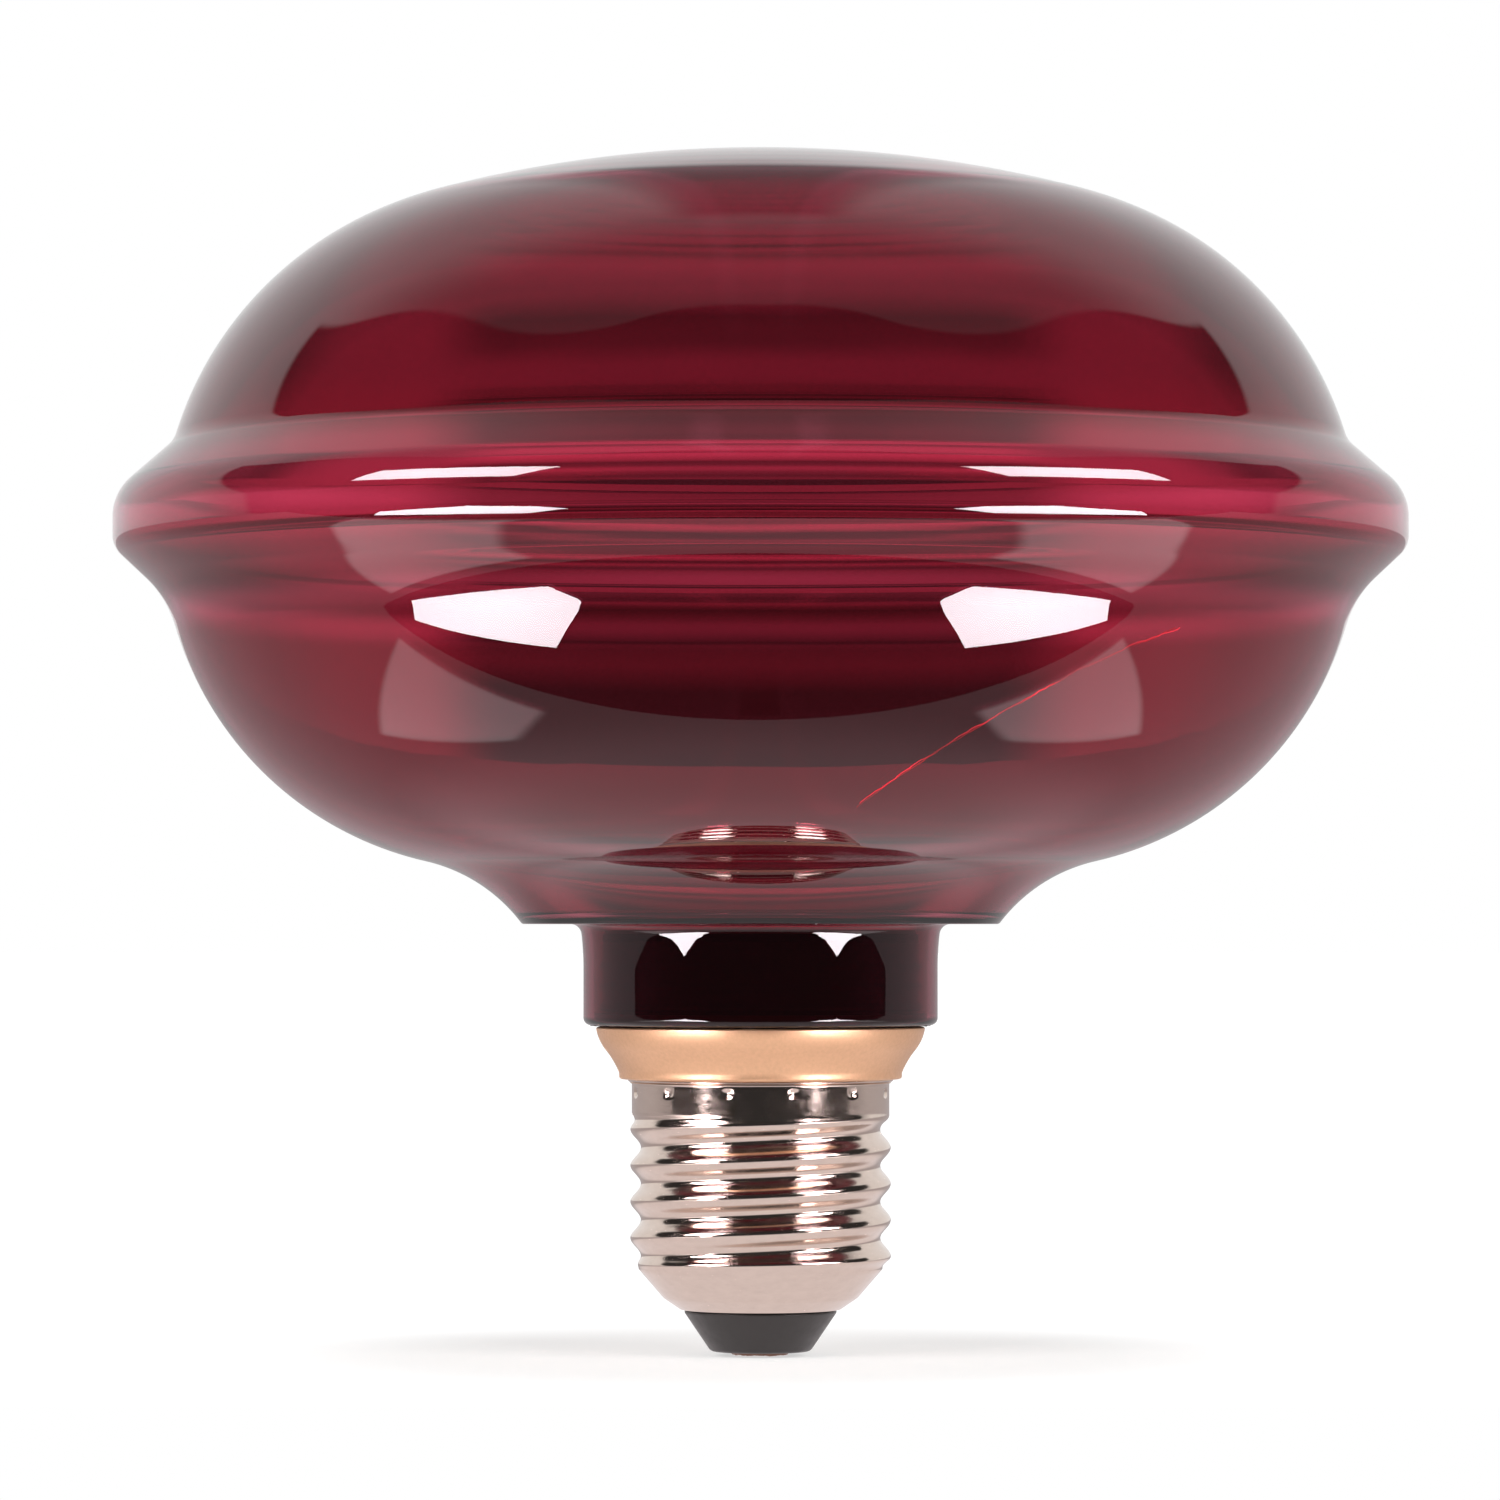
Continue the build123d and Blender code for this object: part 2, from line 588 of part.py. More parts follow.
def choke_winding():
    """Copper winding between the drum's flanges."""
    length = CHOKE_LENGTH - 2 * CHOKE_FLANGE
    low = (Align.CENTER, Align.CENTER, Align.MIN)
    winding = Cylinder(WINDING_RADIUS, length, align=low) - Cylinder(CHOKE_CORE_RADIUS, length, align=low)
    return Pos(0, BOARD_FRONT_Y + CHOKE_RADIUS, CHOKE_BOTTOM_Z + CHOKE_FLANGE) * winding


def film_capacitor():
    """Box-shaped film capacitor against the back of the board."""
    width, depth, height = FILM_CAPACITOR_SIZE
    x, z = FILM_CAPACITOR_PLACE
    body = fillet(Box(width, depth, height).edges(), 0.4)
    return Pos(x, -BOARD_FRONT_Y - depth / 2, z + height / 2) * body


def flat_chip(size, place, legs):
    """Moulded chip on the back of the board, with a row of legs along each of its long sides."""
    width, depth, height = size
    x, z = place
    face_y = -BOARD_FRONT_Y - CHIP_LIFT
    body = Pos(x, face_y - depth / 2, z) * fillet(Box(width, depth, height).edges().filter_by(Axis.X), 0.2)
    pitch = width / legs
    leg = Box(CHIP_LEG, depth / 2 + CHIP_LIFT, 1.2)
    leg_y = -BOARD_FRONT_Y - (depth / 2 + CHIP_LIFT) / 2
    for index in range(legs):
        leg_x = x + (index - (legs - 1) / 2) * pitch
        for side in (-1, 1):
            body += Pos(leg_x, leg_y, z + side * height / 2) * leg
    return body


def bridge_rectifier():
    """Four-legged bridge rectifier."""
    return flat_chip(BRIDGE_SIZE, BRIDGE_PLACE, 2)


def driver_ic():
    """Eight-legged driver chip."""
    return flat_chip(IC_SIZE, IC_PLACE, 4)


def fusible_resistor():
    """Axial resistor on the back of the board, with its two leads bent into it."""
    x, z = RESISTOR_PLACE
    y = -BOARD_FRONT_Y - RESISTOR_RADIUS - 0.5
    body = fillet(Cylinder(RESISTOR_RADIUS, RESISTOR_LENGTH).edges().filter_by(GeomType.CIRCLE), 0.5)
    resistor = Pos(x, y, z) * body
    for side in (-1, 1):
        end_z = z + side * RESISTOR_LENGTH / 2
        bend_z = end_z + side * 1.2
        points = ((x, y, end_z - side * 0.2), (x, y, bend_z), (x, -BOARD_FRONT_Y, bend_z))
        resistor += wire_along(points, 2 * PIN_RADIUS, PIN_RADIUS)
    return resistor


def live_lead():
    """Insulated wire from the board down into the hollow centre contact."""
    start_z = BOARD_BOTTOM_Z + LIVE_WIRE_LIFT
    points = (
        (LIVE_WIRE_X, -BOARD_FRONT_Y, start_z),
        (LIVE_WIRE_X, -BOARD_FRONT_Y - LIVE_WIRE_BOW, start_z),
        (-1.6, -2.0, CONTACT_TOP_Z + 2),
        (0, 0, CONTACT_TOP_Z + 1),
        (0, 0, CONTACT_TOP_Z - LIVE_WIRE_DEPTH),
    )
    return wire_along(points, (0.8, 0.9, 0.7), INSULATED_WIRE_RADIUS)


def neutral_lead():
    """Bare wire from the board, round the housing's edge and up its notch against the screw shell."""
    turn_z = HOUSING_BOTTOM_Z - 2 * BARE_WIRE_RADIUS
    start_z = BOARD_BOTTOM_Z + SHELL_WIRE_LIFT
    points = (
        (SHELL_WIRE_BOARD_X, -BOARD_FRONT_Y, start_z),
        (SHELL_WIRE_BOARD_X, SHELL_WIRE_Y, start_z),
        (SHELL_WIRE_BOARD_X + 0.4, SHELL_WIRE_Y, turn_z),
        (SHELL_WIRE_X, SHELL_WIRE_Y, turn_z),
        (SHELL_WIRE_X, SHELL_WIRE_Y, SHELL_WIRE_TOP_Z),
    )
    return wire_along(points, (0.7, 0.8, 0.8), BARE_WIRE_RADIUS)


def led_lead(side):
    """Insulated wire from the board up through the cup and over to a pad on the LED board."""
    pad_z = LED_BOARD_TOP_Z + INSULATED_WIRE_RADIUS
    start_z = BOARD_TOP_Z - LED_WIRE_DROP
    hole_z = CUP_FLOOR_TOP_Z - CUP_FLOOR - LED_WIRE_UNDER_FLOOR
    points = (
        (side * LED_WIRE_X, -BOARD_FRONT_Y, start_z),
        (side * LED_WIRE_X, -BOARD_FRONT_Y - LED_WIRE_BOW, start_z),
        (side * LED_WIRE_HOLE_X, LED_WIRE_HOLE_Y, hole_z),
        (side * LED_WIRE_HOLE_X, LED_WIRE_HOLE_Y, pad_z),
        (side * LED_WIRE_PAD_X, LED_WIRE_HOLE_Y, pad_z),
    )
    return wire_along(points, (0.8, 0.8, 0.8), INSULATED_WIRE_RADIUS)


PIECES = {
    "glass_envelope": glass_envelope,
    "glass_adhesive": glass_adhesive,
    "collar_ring": collar_ring,
    "screw_shell": screw_shell,
    "shell_insulator": shell_insulator,
    "centre_contact": centre_contact,
    "driver_housing": driver_housing,
    "heat_sink_cup": heat_sink_cup,
    "led_board": led_board,
    "led_chips": led_chips,
    "led_board_screws": led_board_screws,
    "diffuser_cap": diffuser_cap,
    "driver_board": driver_board,
    "electrolytic_capacitor": electrolytic_capacitor,
    "choke_core": choke_core,
    "choke_winding": choke_winding,
    "film_capacitor": film_capacitor,
    "bridge_rectifier": bridge_rectifier,
    "driver_ic": driver_ic,
    "fusible_resistor": fusible_resistor,
    "live_lead": live_lead,
    "neutral_lead": neutral_lead,
    "led_lead_positive": lambda: led_lead(1),
    "led_lead_negative": lambda: led_lead(-1),
}

os.makedirs("parts", exist_ok=True)
for name, build_piece in PIECES.items():
    export_step(build_piece(), f"parts/{name}.step")
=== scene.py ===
import bmesh
import bpy
import math
import numpy as np

from functools import partial
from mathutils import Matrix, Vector
from bpy.props import FloatProperty, FloatVectorProperty, IntProperty, PointerProperty


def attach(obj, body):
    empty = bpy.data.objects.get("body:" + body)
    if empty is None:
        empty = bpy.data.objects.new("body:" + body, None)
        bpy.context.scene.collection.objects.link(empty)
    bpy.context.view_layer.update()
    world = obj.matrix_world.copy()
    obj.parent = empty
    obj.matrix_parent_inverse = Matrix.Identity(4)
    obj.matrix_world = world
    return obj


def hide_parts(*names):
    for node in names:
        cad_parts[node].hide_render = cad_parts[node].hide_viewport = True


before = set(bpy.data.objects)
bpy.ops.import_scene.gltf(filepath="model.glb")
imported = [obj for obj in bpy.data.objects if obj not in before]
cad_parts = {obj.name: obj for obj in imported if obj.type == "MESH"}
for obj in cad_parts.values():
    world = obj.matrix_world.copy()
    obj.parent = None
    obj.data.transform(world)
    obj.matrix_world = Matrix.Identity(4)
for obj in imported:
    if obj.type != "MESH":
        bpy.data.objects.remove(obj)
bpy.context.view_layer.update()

bl_info = {
    "name": "Ruby glass lamp",
    "version": (1, 0, 0),
    "blender": (4, 5, 0),
    "location": "View3D > Sidebar > Lamp",
    "description": "Blown ruby glass lamp with a gold collar and a nickel screw cap, and its studio",
    "category": "Object",
}

MM = 0.001
DEGREES = 180 / math.pi
LOOK_AT = Vector((0.0, 0.0, 0.075))
SMOOTH = {"interpolation_type": "SMOOTHSTEP"}

# Area lamps: name, rise and height in degrees, as seen from the lamp
AREA_LAMPS = (("high", 20.5, 25.0), ("low", -32.0, 24.0))
# Softboxes as mirrors see them: (turn, rise) corners in degrees, on the right-hand side
LOW_SOFTBOX = ((34, -26), (38, -15), (45, -10), (50, -6.5), (55, -10), (68, -15), (73, -26), (46, -40))
HIGH_SOFTBOX = ((42, 14), (74, 14), (72, 29), (52, 32), (36, 31))
# Lower edge of the pale canopy: share of a half turn from the front, and share of a quarter turn above level
CANOPY_EDGE = ((0.0, 0.77), (0.16, 0.74), (0.27, 0.63), (0.34, 0.59), (0.56, 0.55), (0.71, 0.38), (1.0, 0.30))
# Backdrop as the glass shows it, with painted light and shade: bright bands for a lit table top behind the lamp
# # and a dark band for the lamp's own shadow on it. Each is the sine of a band's angle above level, and the band's
# # brightness
WALL_TOP = 0.3
BANDS_OF_LIGHT_AND_SHADE = (
    (0.020, 0.10), (0.027, 0.35), (0.042, 0.11), (0.046, 0.12), (0.060, 0.42), (0.068, 0.40), (0.077, 0.22),
    (0.085, 0.42), (0.090, 0.68), (0.094, 0.68), (0.100, 0.35), (0.109, 0.25), (0.117, 0.68), (0.136, 1.20),
    (0.143, 1.20), (0.150, 0.70), (0.156, 1.10), (0.172, 1.30), (0.200, 1.15), (0.215, 0.80), (0.240, 0.30),
)


def linear(code):
    """Linear colour of an sRGB hex code."""
    channels = [int(code[i : i + 2], 16) / 255 for i in (1, 3, 5)]
    curve = [c / 12.92 if c <= 0.04045 else ((c + 0.055) / 1.055) ** 2.4 for c in channels]
    return (*curve, 1.0)


def add(tree, kind, inputs=(), **settings):
    """Adds a node of any kind, with its settings and links, and returns it.

    The kind goes without "ShaderNode", and its operation may follow it. Inputs, in order or by name, are values
    or the sockets that feed them; a node feeds its first live output.
    """
    kind, _, operation = kind.partition(" ")
    if operation:
        settings["operation"] = operation
    node = tree.nodes.new(kind if "Node" in kind else f"ShaderNode{kind}")
    for name, value in settings.items():
        setattr(node, name, value)
    for key, value in inputs.items() if isinstance(inputs, dict) else enumerate(inputs):
        if isinstance(value, bpy.types.Node):
            value = next(socket for socket in value.outputs if socket.enabled)
        if isinstance(value, bpy.types.NodeSocket):
            tree.links.new(value, node.inputs[key])
        else:
            node.inputs[key].default_value = value
    return node


def faded(put, level, *ranges):
    """A level times smooth ranges: each is a value, where it starts and ends, and the factor at each."""
    for values in ranges:
        level = put("Math MULTIPLY", (level, put("MapRange", values, **SMOOTH)))
    return level


def direction(turn, rise):
    """Unit direction, in degrees: turned from the camera's side towards +X, and raised above level."""
    a, e = math.radians(turn), math.radians(rise)
    return Vector((math.sin(a) * math.cos(e), -math.cos(a) * math.cos(e), math.sin(e)))


def new_material(name):
    """Empty node material, and the function that adds to its tree."""
    material = bpy.data.materials.new(name)
    material.use_nodes = True
    material.node_tree.nodes.clear()
    return material, partial(add, material.node_tree)


def set_stops(ramp, stops):
    """Gives a colour ramp its (position, colour) stops."""
    elements = ramp.color_ramp.elements
    for index, (position, colour) in enumerate(stops):
        element = elements[index] if index < 2 else elements.new(position)
        element.position = position
        element.color = colour
    return ramp


def set_points(curve, points):
    """Leads a curve node through points, from the first at one end to the last at the other."""
    places = curve.mapping.curves[0].points
    places[0].location, places[1].location = points[0], points[-1]
    for x, y in points[1:-1]:
        places.new(x, y)
    curve.mapping.update()
    return curve


# ---------------------------------------------------------------- outlines


def arc_chain(start, heading, runs, step=2.0):
    """Points along tangent arcs and straights: a run is (radius, turn), or (None, length)."""
    points = [start]
    x, z = start
    for radius, amount in runs:
        if radius is None:
            x += amount * math.cos(math.radians(heading))
            z += amount * math.sin(math.radians(heading))
            points.append((x, z))
            continue
        side = math.copysign(90, amount)
        centre_x = x + radius * math.cos(math.radians(heading + side))
        centre_z = z + radius * math.sin(math.radians(heading + side))
        count = max(3, math.ceil(abs(amount) / step))
        for index in range(1, count + 1):
            angle = math.radians(heading - side + amount * index / count)
            points.append((centre_x + radius * math.cos(angle), centre_z + radius * math.sin(angle)))
        x, z = points[-1]
        heading += amount
    return points


def rounded(corners, step=12.0):
    """Outline through (radius, height, round) corners, with each corner rounded by its own arc."""
    points = []
    for index, (x, z, round_radius) in enumerate(corners):
        if not round_radius or index in (0, len(corners) - 1):
            points.append((x, z))
            continue
        here = np.array((x, z))
        before = np.array(corners[index - 1][:2]) - here
        after = np.array(corners[index + 1][:2]) - here
        before = before / np.linalg.norm(before)
        after = after / np.linalg.norm(after)
        half = math.acos(np.clip(before @ after, -1, 1)) / 2
        centre = here + (before + after) / np.linalg.norm(before + after) * round_radius / math.sin(half)
        first = here + before * round_radius / math.tan(half) - centre
        last = here + after * round_radius / math.tan(half) - centre
        turn = math.pi - 2 * half
        count = max(3, math.ceil(math.degrees(turn) / step))
        for k in range(count + 1):
            share = k / count
            blend = math.sin((1 - share) * turn) * first + math.sin(share * turn) * last
            points.append(tuple(centre + blend / math.sin(turn)))
    return points


def spread(points, longest):
    """The same outline with long straights divided, so that no step is longer than a given one."""
    out = [points[0]]
    for a, b in zip(points, points[1:]):
        count = max(1, math.ceil(math.dist(a, b) / longest))
        out += [tuple(np.array(a) + (np.array(b) - np.array(a)) * k / count) for k in range(1, count + 1)]
    return out


def turned(name, outline, segments, closed=False, sharp=35):
    """Piece turned from a (radius, height) outline in millimetres; points on the axis become poles."""
    mesh = bmesh.new()
    rings = []
    for radius, height in outline:
        if radius < 1e-6:
            rings.append([mesh.verts.new((0, 0, height * MM))] * segments)
            continue
        ring = []
        for index in range(segments):
            angle = 2 * math.pi * index / segments
            place = (radius * math.cos(angle) * MM, radius * math.sin(angle) * MM, height * MM)
            ring.append(mesh.verts.new(place))
        rings.append(ring)
    pairs = list(zip(rings, rings[1:]))
    if closed:
        pairs.append((rings[-1], rings[0]))
    for a, b in pairs:
        for index in range(segments):
            after = (index + 1) % segments
            corners = list(dict.fromkeys((a[index], a[after], b[after], b[index])))
            if len(corners) > 2:
                mesh.faces.new(corners)
    bmesh.ops.recalc_face_normals(mesh, faces=mesh.faces)
    return finish_mesh(name, mesh, sharp)


def finish_mesh(name, mesh, sharp=35):
    """Object with a smooth-shaded mesh whose edges past an angle stay sharp."""
    data = bpy.data.meshes.new(name)
    mesh.to_mesh(data)
    mesh.free()
    data.shade_smooth()
    data.set_sharp_from_angle(angle=math.radians(sharp))
    piece = bpy.data.objects.new(name, data)
    bpy.context.scene.collection.objects.link(piece)
    return piece


def seat(piece, material, slot, *nodes):
    """Gives a piece its material, its body and the CAD nodes that it stands for; the slot argument is not used."""
    piece.data.materials.clear()
    piece.data.materials.append(material)
    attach(piece, "root")
    if nodes:
        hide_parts(*nodes)
    return piece


# ---------------------------------------------------------------- sizes and colours


def size(name, description, default, unit="NONE"):
    """Number property; without a unit of its own it is in the one that its group states."""
    return FloatProperty(name=name, description=description, default=default, unit=unit)


def swatch(name, description, code):
    """Colour property that starts at an sRGB hex code."""
    return FloatVectorProperty(
        name=name, description=description, subtype="COLOR", size=4, default=linear(code), min=0, max=1
    )


class LampGlassSizes(bpy.types.PropertyGroup):
    """Sizes of the blown glass, in millimetres and degrees."""

    height: size("Lamp height", "Contact tip to crown", 120.8)
    wall: size("Wall", "Glass wall", 1.0)
    crown_radius: size("Crown radius", "Flat arc over the top", 128.0)
    crown_sweep: size("Crown sweep", "Turn of the crown arc", 15.5)
    shoulder_radius: size("Shoulder radius", "Arc at the side of the dome", 35.5)
    shoulder_sweep: size("Shoulder sweep", "Turn of the shoulder arc", 57.385)
    crease_radius: size("Crease radius", "Hollow arc above the rim", 3.2)
    crease_sweep: size("Crease sweep", "Turn of the hollow arc above the rim", 31.885)
    slope: size("Upper slope", "Straight from the crease to the rim", 4.826)
    rim_radius: size("Rim radius", "Round of the rolled rim", 5.0)
    rim_sweep: size("Rim sweep", "Turn of the rim's upper arc", 49.0)
    rim_face: size("Rim face", "Straight at the widest place", 1.854)
    rim_edge_radius: size("Rim edge radius", "Tighter arc at the rim's lower edge", 2.5)
    rim_edge_sweep: size("Rim edge sweep", "Turn of the lower edge", 46.9)
    under_slope: size("Under-slope", "Straight under the rim", 3.32)
    fillet_radius: size("Fillet radius", "Hollow arc between the rim and the bowl", 11.0)
    fillet_sweep: size("Fillet sweep", "Turn of the hollow arc under the rim", 30.425)
    bowl_radius: size("Bowl radius", "Arc of the bowl", 34.0)
    bowl_sweep: size("Bowl sweep", "Turn of the bowl's arc", 60.725)
    flare_radius: size("Flare radius", "Hollow arc down to the flare's edge", 16.7)
    flare_sweep: size("Flare sweep", "Turn of the hollow arc", 40.5)
    flare_edge_round: size("Flare edge round", "Round of the flare's edge", 0.4)
    neck_radius: size("Neck radius", "Outside of the neck", 17.8)
    neck_fillet: size("Neck fillet", "Hollow round at the top of the neck", 1.1)
    neck_swell: size("Neck swell", "How much the neck widens at its top", 0.32)
    neck_bottom: size("Neck end", "Height of the neck's lip", 33.15)
    segments: IntProperty(name="Segments", description="Divisions round the axis", default=288, min=64, max=320)


class LampCapSizes(bpy.types.PropertyGroup):
    """Sizes of the screw cap, in millimetres."""

    pitch: size("Thread pitch", "Seven turns to the inch", 25.4 / 7)
    crest_radius: size("Crest radius", "Outside of the thread", 13.08)
    root_radius: size("Root radius", "Bottom of the thread", 12.03)
    crest_height: size("Crest height", "Height of a crest at the +X side", 10.0)
    thread_bottom: size("Thread bottom", "Height where the thread starts", 8.7)
    thread_top: size("Thread top", "Height where the thread ends", 24.4)
    run_out: size("Run-out", "Height over which the thread fades", 1.2)
    foot_radius: size("Foot radius", "Shell where the thread starts", 12.24)
    band_radius: size("Band radius", "Smooth band above the thread", 12.94)
    lip_radius: size("Lip radius", "Outside of the lip over the band", 13.3)
    lip_top: size("Lip top", "Height of the lip's upper face", 27.75)
    wall: size("Sheet", "Sheet thickness of the shell", 0.4)
    punches: IntProperty(name="Dimples", description="Punched dimples round the band", default=12, min=1)
    punch_height: size("Dimple height", "Height of the dimple row", 26.5)
    punch_depth: size("Dimple depth", "Depth of a dimple", 0.25)
    punch_radius: size("Dimple radius", "Radius of the punch", 0.6)


class LampTrimSizes(bpy.types.PropertyGroup):
    """Sizes of the collar, the cap's end, the spigot and the glue, in millimetres."""

    collar_radius: size("Collar radius", "Outside at the collar's top", 16.55)
    collar_top: size("Collar top", "Height of the collar's upper edge", 33.0)
    collar_bottom: size("Collar foot", "Height of the collar's lower edge", 27.75)
    collar_mouth: size("Collar mouth", "Inside at the collar's top", 15.797)
    collar_seat: size("Collar seat", "Inside at the collar's foot", 13.1)
    collar_curl: size("Collar curl", "Arc under the collar's upper edge", 4.6)
    collar_sweep: size("Collar sweep", "Hollow arc above the foot", 9.0)
    cone_radius: size("Cone radius", "Insulator at the shell's rim", 7.85)
    cone_top: size("Cone top", "Height of the shell's lower rim", 4.65)
    face_radius: size("Face radius", "Flat face under the insulator", 5.0)
    face_height: size("Face height", "Height of the insulator's flat face", 0.45)
    plug_radius: size("Plug radius", "Insulator inside the shell", 8.5)
    plug_top: size("Plug top", "Top of the insulator", 6.8)
    nub_radius: size("Contact radius", "Head of the contact", 3.0)
    shank_radius: size("Shank radius", "Shank of the contact", 1.4)
    shank_top: size("Shank top", "Top of the contact", 7.4)
    shank_bore: size("Shank bore", "Hole for the live lead", 0.6)
    spigot_radius: size("Spigot radius", "Housing inside the neck", 15.9)
    spigot_top: size("Spigot top", "Top of the spigot", 41.6)
    spigot_wall: size("Spigot wall", "Wall of the spigot", 1.5)
    barrel_radius: size("Barrel radius", "Housing inside the shell", 11.55)
    barrel_wall: size("Barrel wall", "Wall of the barrel", 1.3)
    barrel_bottom: size("Barrel bottom", "Lower end of the barrel", 9.4)
    step_radius: size("Step radius", "Housing inside the smooth band", 12.44)
    funnel_height: size("Funnel", "Height where the bore widens to the spigot", 27.0)
    rib_radius: size("Rib radius", "Half-round ribs of the spigot", 0.4)
    ribs: IntProperty(name="Ribs", description="Ribs round the spigot", default=3, min=1)
    rib_height: size("First rib", "Height of the lowest rib", 35.0)
    rib_step: size("Rib step", "From rib to rib", 2.0)
    glue_top: size("Glue top", "Top of the glue in the neck", 34.3)
    glue_radius: size("Glue radius", "Outermost swell of the bead", 17.25)
    glue_lump: size("Glue lumps", "Depth of the bead's unevenness", 0.3)
    nub_lump: size("Contact lumps", "Depth of the solder's unevenness", 0.2)


class LampColours(bpy.types.PropertyGroup):
    """Colours of the finishes that show, and the hairline in the bowl."""

    glass: swatch("Ruby glass", "What one wall lets through", "#bc576c")
    # Partly painted light: the rim's paler tint also adds the glow that the rim gathers from the sides
    rim_glass_and_glow: swatch("Thin ruby glass", "What the thinner rim lets through", "#f386a3")
    crown_glass: swatch("Crown glass", "What the thicker crown lets through", "#b1566b")
    neck_glass: swatch("Thick ruby glass", "What the thicker neck and under-slope let through", "#9c4456")
    gold: swatch("Gold paint", "Metallic paint of the collar", "#eebb94")
    nickel: swatch("Nickel plate", "Plating of the screw shell", "#e6d3c7")
    insulator: swatch("Insulator", "Black moulded plug of the cap", "#322e2d")
    solder: swatch("Solder", "Dulled solder on the contact", "#8a6a5c")
    housing: swatch("Housing", "Black plastic of the spigot", "#1d1717")
    glue: swatch("Glue", "Brown glue under the neck", "#3b2420")
    hairline: swatch("Hairline", "Bright red of the scratch in the bowl", "#d82f3c")


class LampStageSettings(bpy.types.PropertyGroup):
    """Camera and lights. Lengths in metres, angles in degrees."""

    camera_distance: size("Camera distance", "From the lamp's axis to the lens", 0.7, "LENGTH")
    camera_height: size("Camera height", "Lens above the table", 0.0435, "LENGTH")
    camera_side: size("Camera offset", "Lens to the right of the axis", -0.00106, "LENGTH")
    camera_pitch: size("Camera pitch", "Degrees above level", 1.415)
    lens: size("Lens", "Focal length in millimetres", 167.1)
    softbox_distance: size("Softbox distance", "From the glass to each softbox", 0.9, "LENGTH")
    softbox_turn: size("Softbox turn", "Degrees to each side of the camera", 46.5)
    softbox_width: size("Softbox width", "Degrees, as seen from the lamp", 37.0)
    lamp_level: size("Lamps", "Radiance of the area lamps", 8.0)
    low_level: size("Low softboxes", "Mirrored level of the lower pair", 26.0)
    high_level: size("High softboxes", "Mirrored level of the upper pair", 22.0)
    room_level: size("Dark room", "Level of the dark room in front", 0.03)
    table_front: size("Table front", "Front edge of the table, before the axis", -0.073, "LENGTH")
    table_skew: size("Table skew", "Slope of the front edge", -0.008)
    table_glow: size("Table glow", "Share of the table's white kept in shadow", 0.5)


# ---------------------------------------------------------------- finishes


def ruby_glass():
    # Soda-lime glass, blown and tinted ruby: deep red where two walls overlap, paler on the rim, which is blown
    # thin, and darker in the neck, on the slope under the rim and a little on the crown. The paler rim is partly
    # painted light: its tint also adds the glow that the rim gathers from the sides. Its reflections are sharp and
    # turn mauve-grey towards the outline. A fine scratch runs up the bowl.
    colours = bpy.context.scene.lamp_colours
    wall, rim, neck = colours.glass, colours.rim_glass_and_glow, colours.neck_glass
    material, put = new_material("blown_ruby_glass")
    place = put("TexCoord").outputs["Object"]
    axes = put("SeparateXYZ", (place,)).outputs
    # The tint's stops are shares of the height between these two, in metres
    bottom, top = 0.030, 0.130
    # The rim's pale stops are partly painted light, paler than the thinner glass alone
    stops = (
        (0.11, neck), (0.17, wall), (0.42, wall), (0.445, rim), (0.468, neck), (0.492, neck), (0.508, wall),
        (0.54, rim), (0.585, rim), (0.61, wall), (0.68, wall), (0.73, colours.crown_glass),
    )
    tint = set_stops(put("ValToRGB", (put("MapRange", (axes["Z"], bottom, top)),)), stops)
    tint.color_ramp.interpolation = "EASE"
    # Ripples of blown glass, some 15 mm long
    ripple = put("TexNoise", {"Vector": place, "Scale": 65.0, "Detail": 1.0})
    bump = put("Bump", {"Strength": 0.08, "Distance": 0.0004, "Height": ripple})
    glass = put(
        "BsdfPrincipled",
        {"Base Color": tint, "Roughness": 0.0, "IOR": 1.5, "Transmission Weight": 1.0, "Normal": bump},
    )
    scratch = put("BsdfDiffuse", {"Color": colours.hairline})
    worn = put("MixShader", (hairline_mask(put, place, axes), glass, scratch))
    shade = put("BsdfTransparent", {"Color": wall})
    put("OutputMaterial", {"Surface": put("MixShader", (put("LightPath").outputs["Is Shadow Ray"], worn, shade))})
    return material


def hairline_mask(put, place, axes):
    """One inside the scratch: a curve of height over the turn round the bowl, that wavers as it goes."""
    # Turn in degrees and height in metres, from end to end; half of its width; how far it strays
    turns, heights, half_width, waver = (11.8, 42.9), (0.0548, 0.07136), 0.00007, 0.0009
    turn = put("Math ARCTAN2", (axes["X"], put("Math MULTIPLY", (axes["Y"], -1.0))))
    share = put("MapRange", (turn, math.radians(turns[0]), math.radians(turns[1])), clamp=False)
    bend = ((0.0, 0.0), (0.206, 0.262), (0.437, 0.526), (0.714, 0.801), (1.0, 1.0))
    rise = set_points(put("FloatCurve", {"Value": share}), bend)
    middle = put("MapRange", (rise, 0.0, 1.0, *heights))
    noise = put("TexNoise", {"Vector": place, "Scale": 420.0, "Detail": 2.0})
    stray = put("Math MULTIPLY", (put("Math SUBTRACT", (noise, 0.5)), waver))
    off = put("Math ABSOLUTE", (put("Math SUBTRACT", (axes["Z"], put("Math ADD", (middle, stray)))),))
    past = put("Math ABSOLUTE", (put("Math SUBTRACT", (share, 0.5)),))
    inside = put("Math MULTIPLY", (put("Math LESS_THAN", (off, half_width)), put("Math LESS_THAN", (past, 0.5))))
    patches = put("TexNoise", {"Vector": place, "Scale": 160.0, "Detail": 1.0})
    depth = put("MapRange", (patches, 0.3, 0.6, 0.15, 0.9))
    return put("Math MULTIPLY", (inside, depth))


